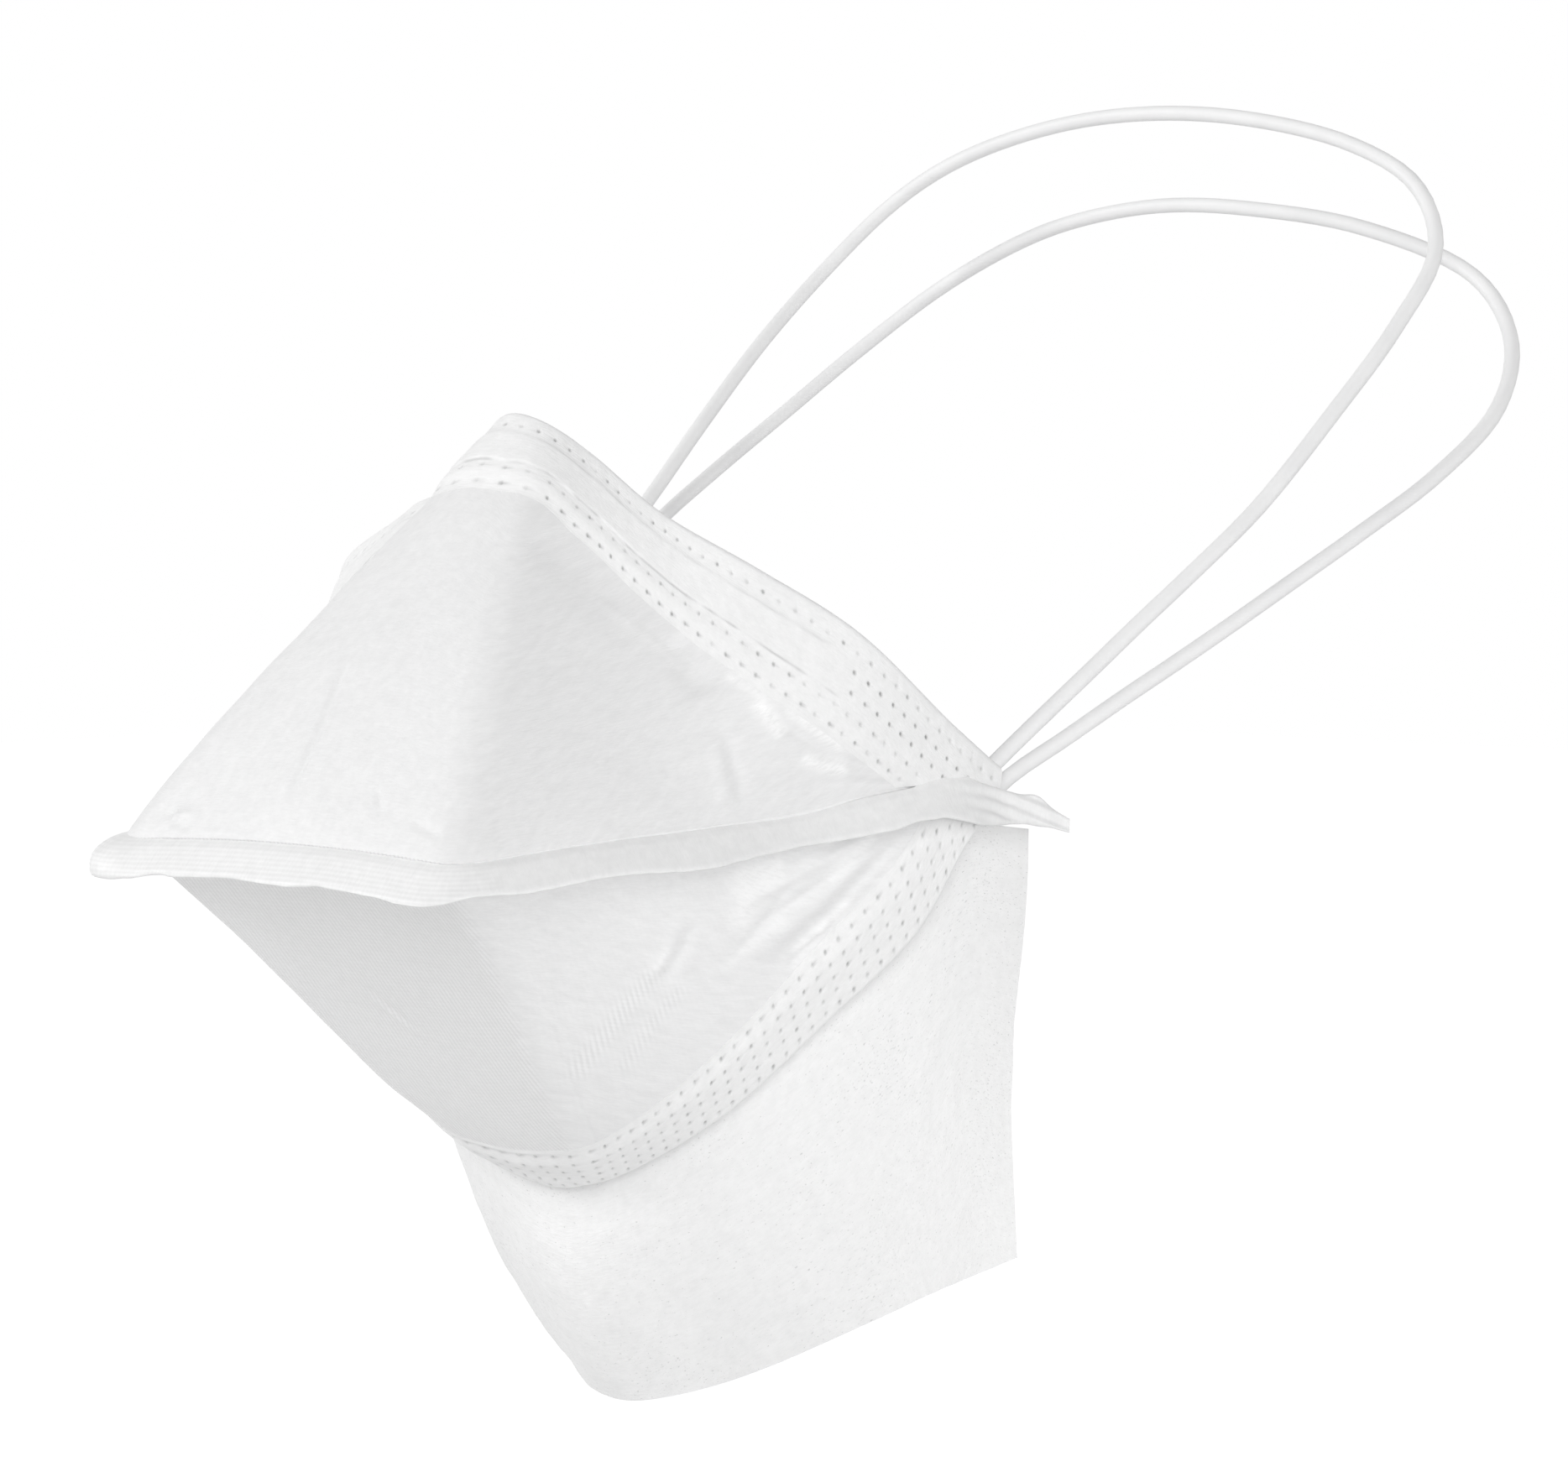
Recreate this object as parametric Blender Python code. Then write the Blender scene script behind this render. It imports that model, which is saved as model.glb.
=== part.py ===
"""Disposable pouch-shaped dust mask with two elastic headbands and a neck skirt.

Opened out as it is worn.  Origin midway between the two side wings, at the face
opening; -Y is forward, +Z is up, +X is the side of one wing.  Lengths in metres.
"""
import math

import bpy
import numpy as np

MM = 0.001

# --- Outline of the opened pouch -------------------------------------------------
WING_HALF_SPAN = 64.0 * MM     # middle of the face to the root of a wing
WING_LENGTH = 11.3 * MM        # pinched wing, from its root to its tip
FRONT_HALF_WIDTH = 41.5 * MM   # middle of the front seam to a front corner
FRONT_REACH = 103.0 * MM       # front seam ahead of the wings
FRONT_DROP = 9.2 * MM          # front corners below the wings
FRONT_ARCH = 1.6 * MM          # rise of the front seam between its corners
FRONT_CORNER_RADIUS = 6.0 * MM
FRONT_CORNER_ARC = 1.7         # length of a front corner's curve, in radii
NOSE_HEIGHT = 61.7 * MM        # top of the nose edge above the wings
NOSE_REACH = 50.4 * MM         # top of the nose edge ahead of the wings
CHIN_DEPTH = 69.9 * MM         # chin edge below the wings
CHIN_REACH = 41.1 * MM         # chin edge ahead of the wings
NOSE_ROUNDING = 9.0 * MM       # half width of the front facet where it meets the nose edge
CHIN_ROUNDING = 14.0 * MM      # the same at the chin edge
FACET_SHARE = 0.6              # share of that half width before the fold starts to turn
FRONT_PUFF = 1.8 * MM          # outward swell of the front facets
SIDE_PUFF = 1.0 * MM           # outward swell of the side facets

# --- Layers ----------------------------------------------------------------------
GAP = 0.3 * MM                 # clearance between neighbours
PLY_GAP = 0.4 * MM             # clearance between the layers, which curve together
COVER_PLY = 0.4 * MM           # outer and inner nonwoven
FILTER_PLY = 0.6 * MM          # filter web
SKIRT_PLY = 0.5 * MM
SEAM_SETBACK = 1.2 * MM        # outer panels stop this far from the welded seam
NOSE_BAND_WIDTH = 18.5 * MM    # folded edge bands
CHIN_BAND_WIDTH = 13.0 * MM
BAND_PLY = 0.4 * MM
BAND_CAVITY = 1.5 * MM         # room inside the folded band
BAND_TUCK = 5.5 * MM           # how far the outer panel reaches into the band
BAND_SETBACK = 1.6 * MM        # bands stop this far from the seam near the wings
BAND_LEAST_WIDTH = 4.0 * MM    # and end at the wings where they are this narrow
PLY_LEAST_HEIGHT = 3.0 * MM    # the same for the layers
LEVEL_SETBACK = 0.9            # deeper layers stop further from the seam, in depths
WIRE_WIDTH = 5.0 * MM
WIRE_THICKNESS = 0.6 * MM
WIRE_HALF_LENGTH = 70.0 * MM
WIRE_INSET = 6.2 * MM          # wire's upper edge below the band's fold
WIRE_COLUMNS = 41

# --- Welded flange and wings -----------------------------------------------------
FLANGE_WIDTH = 8.2 * MM
FLANGE_THICKNESS = 1.2 * MM
FLANGE_DROOP = math.radians(50)
WING_DROOP = math.radians(72)
WING_THICKNESS = 1.8 * MM
WING_TIP_WIDTH = 1.8 * MM
DROOP_RAMP = 24.0 * MM         # the flange takes on the wing's droop over this length
STAND_OFF_FROM = 40.0 * MM     # it moves out past the bands between these distances
STAND_OFF_TO = 14.0 * MM       # ahead of the wing's root

# --- Neck skirt ------------------------------------------------------------------
SKIRT_OVERLAP = 6.0 * MM       # lap behind the chin band
SKIRT_HINGE_DROP = 72.0 * MM   # level below the wings under which the cloth swings
SKIRT_FRONT_DEPTH = 108.3 * MM  # lowest point of the hem, below the wings
SKIRT_REAR_DEPTH = 80.3 * MM   # hem at the rear edges
SKIRT_FRONT_REACH = 27.2 * MM  # middle of the hem ahead of the wings
SKIRT_REAR_BACK = 6.7 * MM     # rear edges behind the wings
SKIRT_SIDE_INSET = 2.0 * MM    # rear edges inside the roots of the wings
SKIRT_TOP_DROP = 9.0 * MM      # top of the rear edges below the wings
SKIRT_HINGE_GAP = 0.5 * MM     # between the fixed and the swinging cloth
SKIRT_SWELL = 4.0 * MM         # outward swell of the cloth in front, half way down
SKIRT_SWELL_FULL = 12.4 * MM   # the swell is whole up to this distance from the middle
SKIRT_SWELL_NONE = 55.8 * MM   # and gone at this one
SKIRT_LEAST_HEIGHT = 12.6 * MM  # the cloth is tied to the panel where it is this high
SKIRT_LAP_SETBACK = 2.6 * MM   # the lap stops this far from the seam
SKIRT_STRAIGHT = 0.72          # share of the hem over which the cloth doesn't fan out

# --- Elastic headbands -----------------------------------------------------------
CORD_DIAMETER = 2.8 * MM
CORD_CLEARANCE = 1.4 * MM      # between a cord and the band's inner face at the wing
WELD_RADIUS = 1.5 * MM         # fused end of a cord, on the inside of the wing
WELD_REACH = 0.1 * MM          # how much further out than the cord it reaches
UPPER_PIVOT = (-5.6 * MM, -2.4 * MM)   # y, z of the upper headband's fused ends
LOWER_PIVOT = (-2.6 * MM, -4.8 * MM)
# Routes in millimetres from near the wing to the middle of the back of the loop.
UPPER_ROUTE = ((60.4, 3.0, 3.6), (63.1, 10.4, 10.2), (66.4, 19.6, 18.2), (69.2, 29.1, 26.1),
               (71.9, 39.1, 34.0), (74.6, 54.2, 45.5), (76.5, 71.5, 61.0), (77.3, 89.0, 76.8),
               (74.6, 104.0, 91.0), (64.5, 111.2, 103.0), (49.2, 112.4, 110.8),
               (24.5, 111.6, 116.6), (0.0, 111.0, 118.4))
LOWER_ROUTE = ((61.5, 4.9, 0.9), (65.5, 14.4, 7.0), (69.5, 23.8, 13.2), (73.4, 33.4, 19.2),
               (77.3, 43.4, 25.5), (81.5, 54.2, 32.5), (85.9, 67.5, 40.7), (88.5, 86.0, 50.7),
               (87.5, 105.2, 62.5), (80.0, 119.3, 75.2), (65.5, 127.0, 87.2),
               (40.8, 125.5, 96.5), (19.0, 121.5, 100.3), (0.0, 120.6, 101.6))
CORD_STEP = 2.6                # spacing of a cord's points, in diameters

# --- Outlines as shares of the sizes above, from the middle to the wing ---------
# Nose edge: x / wing half span, y / nose reach, z / nose height.
NOSE_SHAPE = ((0.0, 1.0, 1.0), (0.10, 0.985, 0.968), (0.24, 0.93, 0.875), (0.47, 0.915, 0.73),
              (0.78, 0.86, 0.583), (0.95, 0.64, 0.425), (1.0, 0.26, 0.175), (0.995, -0.02, 0.03))
# Chin edge: x / wing half span, y / chin reach, z / chin depth.
CHIN_SHAPE = ((0.0, 1.0, 1.0), (0.22, 1.01, 0.947), (0.58, 0.934, 0.772), (0.81, 0.70, 0.542),
              (0.94, 0.415, 0.346), (1.0, 0.18, 0.12), (0.997, -0.02, 0.06))
# Side seam: share of the way out from front corner to wing, y / reach, z / drop.
SEAM_SHAPE = ((0.0, 1.0, 1.0), (0.29, 0.79, 0.71), (0.51, 0.555, 0.51), (0.64, 0.393, 0.36),
              (0.82, 0.238, 0.04), (0.92, 0.11, -0.06), (1.0, -0.01, 0.20))
WING_DIRECTION = (0.71, 0.60, -0.37)
# Hem of the skirt: x / half width, then shares from front to rear in y and in z.
HEM_SHAPE = ((0.0, 0.0, 0.0), (0.13, 0.02, 0.05), (0.27, 0.15, 0.145), (0.43, 0.28, 0.29),
             (0.58, 0.40, 0.46), (0.77, 0.61, 0.70), (0.90, 0.77, 0.86), (1.0, 1.0, 1.0))

# --- Columns across half the mask ------------------------------------------------
FRONT_COLUMNS = 5
FOLD_COLUMNS = 4
SIDE_COLUMNS = 14
WING_COLUMNS = 5
PLY_ROWS = 6
BAND_ROWS = (1.0, 0.75, 0.5, 0.25)   # rows of a band, as shares of its width
YOKE_ROWS = 4
DRAPE_ROWS = 5
FOLD_START = 0.24              # the columns from here to FOLD_END turn round a front corner
FOLD_END = 0.34
SIDE_PUFF_FROM = 0.6           # from here the swell is the side facets' own
FLAT_FROM = 0.7                # and from here it fades out towards the wing


# --- Curves ----------------------------------------------------------------------
def catmull_rom(points, per_span=16):
    """Centripetal Catmull-Rom curve through the points."""
    points = np.array(points, float)
    run = np.vstack((2 * points[0] - points[1], points, 2 * points[-1] - points[-2]))
    steps = np.sqrt(np.linalg.norm(np.diff(run, axis=0), axis=1))
    knots = np.concatenate(([0.0], np.cumsum(steps)))

    def blend(i, t):
        def mix(a, b, low, high):
            share = (t - knots[low]) / (knots[high] - knots[low])
            return a * (1 - share) + b * share
        level = [mix(run[i + j], run[i + j + 1], i + j, i + j + 1) for j in range(3)]
        level = [mix(level[j], level[j + 1], i + j, i + j + 2) for j in range(2)]
        return mix(level[0], level[1], i + 1, i + 2)

    curve = [blend(i, t) for i in range(len(points) - 1)
             for t in np.linspace(knots[i + 1], knots[i + 2], per_span, endpoint=False)]
    return np.array(curve + [points[-1]])


class Track:
    """A line of points, read by distance along it."""

    def __init__(self, points):
        self.points = np.array(points, float)
        steps = np.linalg.norm(np.diff(self.points, axis=0), axis=1)
        self.distance = np.concatenate(([0.0], np.cumsum(steps)))
        self.length = self.distance[-1]

    def at(self, distance):
        return np.stack([np.interp(distance, self.distance, self.points[:, axis])
                         for axis in range(3)], axis=-1)


def unit(vectors):
    return vectors / np.linalg.norm(vectors, axis=-1, keepdims=True)


def smooth_step(low, high, value):
    share = np.clip((value - low) / (high - low), 0.0, 1.0)
    return share * share * (3 - 2 * share)


def mirrored(points, side):
    """Points of the +X half, taken to the -X side where side is negative."""
    return points * np.stack([np.where(side < 0, -1.0, 1.0), np.ones_like(side),
                              np.ones_like(side)], axis=-1)


def seam_track():
    """Half of the welded seam: front, rounded corner, side and out to the wing's tip."""
    corner = np.array((FRONT_HALF_WIDTH, -FRONT_REACH, -FRONT_DROP))
    side = [(FRONT_HALF_WIDTH + x * (WING_HALF_SPAN - FRONT_HALF_WIDTH),
             -y * FRONT_REACH, -z * FRONT_DROP) for x, y, z in SEAM_SHAPE]
    tip = np.array(side[-1]) + WING_LENGTH * unit(np.array(WING_DIRECTION))
    side = Track(catmull_rom(side + [tip]))
    front = [(x, -FRONT_REACH, -FRONT_DROP + FRONT_ARCH * (1 - (x / FRONT_HALF_WIDTH) ** 2))
             for x in np.linspace(0, FRONT_HALF_WIDTH - FRONT_CORNER_RADIUS, 6)]
    enter = np.array(front[-1])
    leave = side.at(FRONT_CORNER_RADIUS)
    turn = [enter * (1 - t) ** 2 + corner * 2 * t * (1 - t) + leave * t ** 2
            for t in np.linspace(0, 1, 9)[1:-1]]
    rest = side.points[side.distance > FRONT_CORNER_RADIUS]
    return Track(np.vstack((front, turn, [leave], rest)))


# --- The pouch's surfaces --------------------------------------------------------
class Panel:
    """Upper or lower half of the pouch: u from wing to wing (-1 to 1), v from seam to edge."""

    def __init__(self, seam, edge, rounding, facing):
        self.seam = seam
        self.edge = edge
        self.facing = facing
        front = FRONT_HALF_WIDTH - FRONT_CORNER_RADIUS
        self.knots = (0.0, FOLD_START, FOLD_END, 1.0)
        self.seam_knots = (0.0, front, front + FRONT_CORNER_ARC * FRONT_CORNER_RADIUS,
                           seam.length - WING_LENGTH)
        self.edge_knots = (0.0, FACET_SHARE * rounding, rounding, edge.length)

    def seam_distance(self, u):
        return np.interp(np.abs(u), self.knots, self.seam_knots)

    def edge_distance(self, u):
        return np.interp(np.abs(u), self.knots, self.edge_knots)

    def seam_at(self, u):
        return mirrored(self.seam.at(self.seam_distance(u)), u)

    def edge_at(self, u):
        return mirrored(self.edge.at(self.edge_distance(u)), u)

    def height(self, u):
        return np.linalg.norm(self.edge_at(u) - self.seam_at(u), axis=-1)

    def puff(self, u):
        side = smooth_step(FOLD_END, SIDE_PUFF_FROM, np.abs(u))
        swell = FRONT_PUFF + (SIDE_PUFF - FRONT_PUFF) * side
        return swell * (1 - smooth_step(FLAT_FROM, 1.0, np.abs(u)))

    def point(self, u, v):
        low = self.seam_at(u)
        rise = self.edge_at(u) - low
        step = 1e-3
        across = (self.seam_at(u + step) + self.edge_at(u + step)
                  - self.seam_at(u - step) - self.edge_at(u - step))
        outward = self.facing * unit(np.cross(across, rise))
        swell = self.puff(u) * np.sin(np.pi * np.clip(v, 0, 1))
        return low + rise * v[..., None] + outward * swell[..., None]

    def normal(self, u, v):
        step = 4e-3
        across = self.point(u + step, v) - self.point(u - step, v)
        along = self.point(u, v + step) - self.point(u, v - step)
        return self.facing * unit(np.cross(across, along))

    def layer(self, u, from_edge, offset):
        """Points at a distance from the opening edge, offset outward from the surface."""
        v = 1 - from_edge / self.height(u)
        return self.point(u, v) + self.normal(u, v) * np.asarray(offset)[..., None]

    def last_column(self, least_height):
        """The u nearest the wing at which the panel is still this high."""
        u = np.linspace(FOLD_END, 1.0, 400)
        return u[self.height(u) >= least_height].max()


def columns(last):
    half = np.concatenate((np.linspace(0, FOLD_START, FRONT_COLUMNS, endpoint=False),
                           np.linspace(FOLD_START, FOLD_END, FOLD_COLUMNS, endpoint=False),
                           np.linspace(FOLD_END, last, SIDE_COLUMNS)))
    return np.concatenate((-half[:0:-1], half))


# --- Solids ----------------------------------------------------------------------
def material(name, colour, roughness, metallic=0.0):
    made = bpy.data.materials.new(name)
    made.use_nodes = True
    shader = made.node_tree.nodes["Principled BSDF"]
    shader.inputs["Base Color"].default_value = (*colour, 1.0)
    shader.inputs["Roughness"].default_value = roughness
    shader.inputs["Metallic"].default_value = metallic
    return made


def add_object(name, data, surface, pivot=None):
    thing = bpy.data.objects.new(name, data)
    data.materials.append(surface)
    bpy.context.collection.objects.link(thing)
    if pivot is not None:
        thing.parent = pivot
        thing.location = -pivot.location
    return thing


def add_pivot(name, y, z):
    """An empty on the axis, along X, that a moving piece turns about."""
    pivot = bpy.data.objects.new(name, None)
    pivot.location = (0.0, y, z)
    bpy.context.collection.objects.link(pivot)
    return pivot


def shell(name, outer, inner, surface, pivot=None):
    """One closed sheet between two grids of points of the same shape."""
    rows, cols = outer.shape[:2]
    points = np.concatenate((outer.reshape(-1, 3), inner.reshape(-1, 3)))
    under = rows * cols

    def top(i, j):
        return i * cols + j

    faces = []
    for i in range(rows - 1):
        for j in range(cols - 1):
            quad = (top(i, j), top(i + 1, j), top(i + 1, j + 1), top(i, j + 1))
            faces += [quad, tuple(under + k for k in reversed(quad))]
    rim = ([(top(i, 0), top(i + 1, 0)) for i in range(rows - 1)]
           + [(top(rows - 1, j), top(rows - 1, j + 1)) for j in range(cols - 1)]
           + [(top(i + 1, cols - 1), top(i, cols - 1)) for i in range(rows - 1)]
           + [(top(0, j + 1), top(0, j)) for j in range(cols - 1)])
    faces += [(b, a, under + a, under + b) for a, b in rim]
    corners = points[[face[k] for face in faces for k in (0, 1, 2, 0, 2, 3)]].reshape(-1, 3, 3)
    volume = np.einsum("ij,ij->i", corners[:, 0], np.cross(corners[:, 1], corners[:, 2])).sum()
    if volume < 0:
        faces = [tuple(reversed(face)) for face in faces]
    mesh = bpy.data.meshes.new(name)
    mesh.from_pydata(points.tolist(), [], faces)
    mesh.shade_smooth()
    mesh.set_sharp_from_angle(angle=math.radians(35))
    return add_object(name, mesh, surface, pivot)


def ply(name, panel, top_depth, thickness, upper_limit, surface):
    """One layer of the pouch, from near the seam to a distance from the opening edge."""
    setback = SEAM_SETBACK + LEVEL_SETBACK * top_depth
    u = columns(panel.last_column(upper_limit + setback + PLY_LEAST_HEIGHT))[:, None]
    share = np.linspace(0, 1, PLY_ROWS)[None, :]
    from_edge = upper_limit + (panel.height(u) - setback - upper_limit) * share
    u = np.broadcast_to(u, from_edge.shape)
    outer = panel.layer(u, from_edge, np.full(u.shape, -top_depth))
    inner = panel.layer(u, from_edge, np.full(u.shape, -top_depth - thickness))
    return shell(name, outer, inner, surface)


def band_depths():
    """Offsets of the folded band's faces from the pouch's surface."""
    spare = (BAND_CAVITY - COVER_PLY) / 2
    return spare + BAND_PLY, spare, -COVER_PLY - spare, -COVER_PLY - spare - BAND_PLY


def edge_band(name, panel, width, surface):
    """The band folded over an opening edge, open towards the seam."""
    face, lining_top, lining_low, back = band_depths()
    middle = (face + back) / 2
    bend = face - middle
    u = columns(panel.last_column(BAND_SETBACK + BAND_LEAST_WIDTH))[:, None]
    reach = np.minimum(width, panel.height(u) - BAND_SETBACK)

    def folded(front, rear, fold, round_share):
        """Profile from the front free edge, over the fold, to the rear free edge."""
        offset = round_share * (front - middle)
        turn = [(0, bend, front), (0, fold + 0.3 * (bend - fold), middle + offset),
                (0, fold, middle), (0, fold + 0.3 * (bend - fold), middle - offset),
                (0, bend, rear)]
        return ([(share, 0, front) for share in BAND_ROWS] + turn
                + [(share, 0, rear) for share in reversed(BAND_ROWS)])

    outside = folded(face, back, 0.0, 0.6)
    inside = folded(lining_top, lining_low, BAND_PLY, 0.5)
    u = np.broadcast_to(u, (len(u), len(outside)))

    def faces(profile):
        share, distance, offset = (np.array(values) for values in zip(*profile))
        return panel.layer(u, reach * share + distance, np.broadcast_to(offset, u.shape))

    return shell(name, faces(outside), faces(inside), surface)


def nose_wire(panel, surface):
    last = np.interp(WIRE_HALF_LENGTH, panel.edge_knots, panel.knots)
    u = np.linspace(-last, last, WIRE_COLUMNS)[:, None]
    from_edge = np.array((WIRE_INSET, WIRE_INSET + WIRE_WIDTH))[None, :]
    u, from_edge = np.broadcast_arrays(u, from_edge)
    middle = -COVER_PLY / 2
    faces = [panel.layer(u, from_edge, np.full(u.shape, middle + half))
             for half in (WIRE_THICKNESS / 2, -WIRE_THICKNESS / 2)]
    return shell("nose_wire", *faces, surface)


def weld_flange(panel, surface):
    """The welded rim of all layers round the front and sides, drawn out into two wings."""
    root = panel.seam.length - WING_LENGTH
    u = columns(1.0)
    half = np.concatenate((panel.seam_distance(u[len(u) // 2:]),
                           root + WING_LENGTH * np.linspace(0, 1, WING_COLUMNS + 1)[1:]))
    along = np.concatenate((-half[:0:-1], half))
    step = 0.2 * MM
    far = np.minimum(np.abs(along), panel.seam.length - step)

    def seam_at(distance, side):
        return mirrored(panel.seam.at(distance), side)

    run = unit(seam_at(far + step, along) - seam_at(far - step, along))
    run *= np.where(along < 0, -1.0, 1.0)[:, None]
    outward = unit(np.cross(run, (0.0, 0.0, 1.0)))
    to_wing = smooth_step(root - DROOP_RAMP, root, np.abs(along))
    on_wing = np.clip((np.abs(along) - root) / WING_LENGTH, 0, 1)
    droop = FLANGE_DROOP + (WING_DROOP - FLANGE_DROOP) * to_wing
    width = FLANGE_WIDTH + (WING_TIP_WIDTH - FLANGE_WIDTH) * on_wing
    thickness = FLANGE_THICKNESS + (WING_THICKNESS - FLANGE_THICKNESS) * to_wing * (1 - on_wing)
    past_bands = smooth_step(root - STAND_OFF_FROM, root - STAND_OFF_TO, np.abs(along))
    stand_off = (band_depths()[0] + GAP + thickness / 2) * past_bands * (1 - on_wing)
    down = outward * np.cos(droop)[:, None] - np.array((0, 0, 1)) * np.sin(droop)[:, None]
    face = unit(np.cross(down, run))
    base = seam_at(np.abs(along), along) + outward * stand_off[:, None]
    shares = np.linspace(0, 1, 3)
    middle = base[:, None] + down[:, None] * (width[:, None] * shares)[..., None]
    half_thick = (face * thickness[:, None] / 2)[:, None]
    return shell("edge_weld", middle + half_thick, middle - half_thick, surface)


# --- Neck skirt ------------------------------------------------------------------
def skirt_sheet(panel):
    """Top edge, brink of the chin band and hem of the cloth's middle surface."""
    half_width = WING_HALF_SPAN - SKIRT_SIDE_INSET
    u = columns(panel.last_column(SKIRT_LEAST_HEIGHT))
    depth = band_depths()[3] - GAP - SKIRT_PLY / 2
    lap = np.minimum(SKIRT_OVERLAP, panel.height(u) - SKIRT_LAP_SETBACK)
    offset = np.full(u.shape, depth)
    top = panel.layer(u, lap, offset)
    brink = panel.layer(u, np.zeros_like(u), offset)
    rear = np.array([(half_width, SKIRT_REAR_BACK, -SKIRT_TOP_DROP)])
    top = np.vstack((rear * (-1, 1, 1), top, rear))
    brink = np.vstack((rear * (-1, 1, 1), brink, rear))
    brink[[0, -1], 2] -= SKIRT_OVERLAP
    span = Track(brink)
    middle = span.length / 2
    hem = Track(catmull_rom([(x * half_width,
                              -SKIRT_FRONT_REACH + y * (SKIRT_FRONT_REACH + SKIRT_REAR_BACK),
                              -SKIRT_FRONT_DEPTH + z * (SKIRT_FRONT_DEPTH - SKIRT_REAR_DEPTH))
                             for x, y, z in HEM_SHAPE]))
    side = span.distance - middle
    tied = SKIRT_STRAIGHT * hem.length
    hem_distance = np.interp(np.abs(side), (0, tied, middle), (0, tied, hem.length))
    return top, brink, mirrored(hem.at(hem_distance), side)


def sheet_faces(middle):
    """The two faces of the cloth, half a ply either side of its middle surface."""
    across = np.gradient(middle, axis=0)
    down = np.gradient(middle, axis=1)
    half = unit(np.cross(across, down)) * SKIRT_PLY / 2
    return middle + half, middle - half


def neck_skirt(panel, surface, pivot_name):
    top, brink, hem = skirt_sheet(panel)
    fall = hem - brink
    outward = unit(np.cross(np.gradient(brink, axis=0), (0.0, 0.0, 1.0)))
    to_side = smooth_step(SKIRT_SWELL_FULL, SKIRT_SWELL_NONE, np.abs(brink[:, :1]))
    outward *= SKIRT_SWELL * (1 - to_side)
    share = (-SKIRT_HINGE_DROP - brink[:, 2]) / fall[:, 2]
    gap_share = SKIRT_HINGE_GAP / 2 / np.abs(fall[:, 2])

    def rows(low, high, count):
        t = low[:, None] + (high - low)[:, None] * np.linspace(0, 1, count)
        swell = np.sin(np.pi * t)[..., None]
        return brink[:, None] + fall[:, None] * t[..., None] + outward[:, None] * swell

    hung = rows(np.zeros_like(share), share - gap_share, YOKE_ROWS)
    yoke = np.concatenate((top[:, None], hung), axis=1)
    shell("skirt_yoke", *sheet_faces(yoke), surface)
    drape = rows(share + gap_share, np.ones_like(share), DRAPE_ROWS)
    pivot = add_pivot(pivot_name, drape[:, 0, 1].min() - SKIRT_PLY / 2, -SKIRT_HINGE_DROP)
    shell("skirt_drape", *sheet_faces(drape), surface, pivot)


# --- Headbands -------------------------------------------------------------------
def cord_x():
    """Distance of a cord's fused end from the middle plane."""
    return WING_HALF_SPAN + band_depths()[3] - CORD_CLEARANCE - CORD_DIAMETER / 2


def headband(name, pivot_yz, route, surface):
    """A round elastic cord from wing to wing that swings about its two fused ends."""
    pivot = add_pivot(name + "_pivot", *pivot_yz)
    end = np.array((cord_x(), *pivot_yz))
    route = np.array(route) * MM
    lead = unit(route[0] - end)
    half = np.vstack((end + lead * (WELD_RADIUS + GAP), route))
    whole = Track(catmull_rom(np.vstack((half, half[-2::-1] * (-1, 1, 1)))))
    count = int(round(whole.length / (CORD_STEP * CORD_DIAMETER))) + 1
    points = whole.at(np.linspace(0, whole.length, count))
    curve = bpy.data.curves.new(name, "CURVE")
    curve.dimensions = "3D"
    curve.bevel_depth = CORD_DIAMETER / 2
    curve.bevel_resolution = 2
    curve.use_fill_caps = True
    spline = curve.splines.new("POLY")
    spline.points.add(count - 1)
    for spot, point in zip(spline.points, points):
        spot.co = (*point, 1.0)
    add_object(name, curve, surface, pivot)
    for side, label in ((1, "left"), (-1, "right")):
        cord_weld(f"{name}_weld_{label}", end * (side, 1, 1), surface)


def cord_weld(name, centre, surface):
    """The fused end of a cord: a short stub across the wing, which the cord turns about."""
    length = CORD_DIAMETER + WELD_REACH
    ring = [(math.cos(a) * WELD_RADIUS, math.sin(a) * WELD_RADIUS)
            for a in np.linspace(0, math.tau, 16, endpoint=False)]
    middle = centre[0] + math.copysign(WELD_REACH / 2, centre[0])
    points = [(middle + end * length / 2, centre[1] + y, centre[2] + z)
              for end in (-1, 1) for y, z in ring]
    count = len(ring)
    faces = [tuple(reversed(range(count))), tuple(range(count, 2 * count))]
    faces += [(i, (i + 1) % count, count + (i + 1) % count, count + i) for i in range(count)]
    mesh = bpy.data.meshes.new(name)
    mesh.from_pydata(points, [], faces)
    mesh.shade_smooth()
    mesh.set_sharp_from_angle(angle=math.radians(35))
    add_object(name, mesh, surface)


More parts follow.
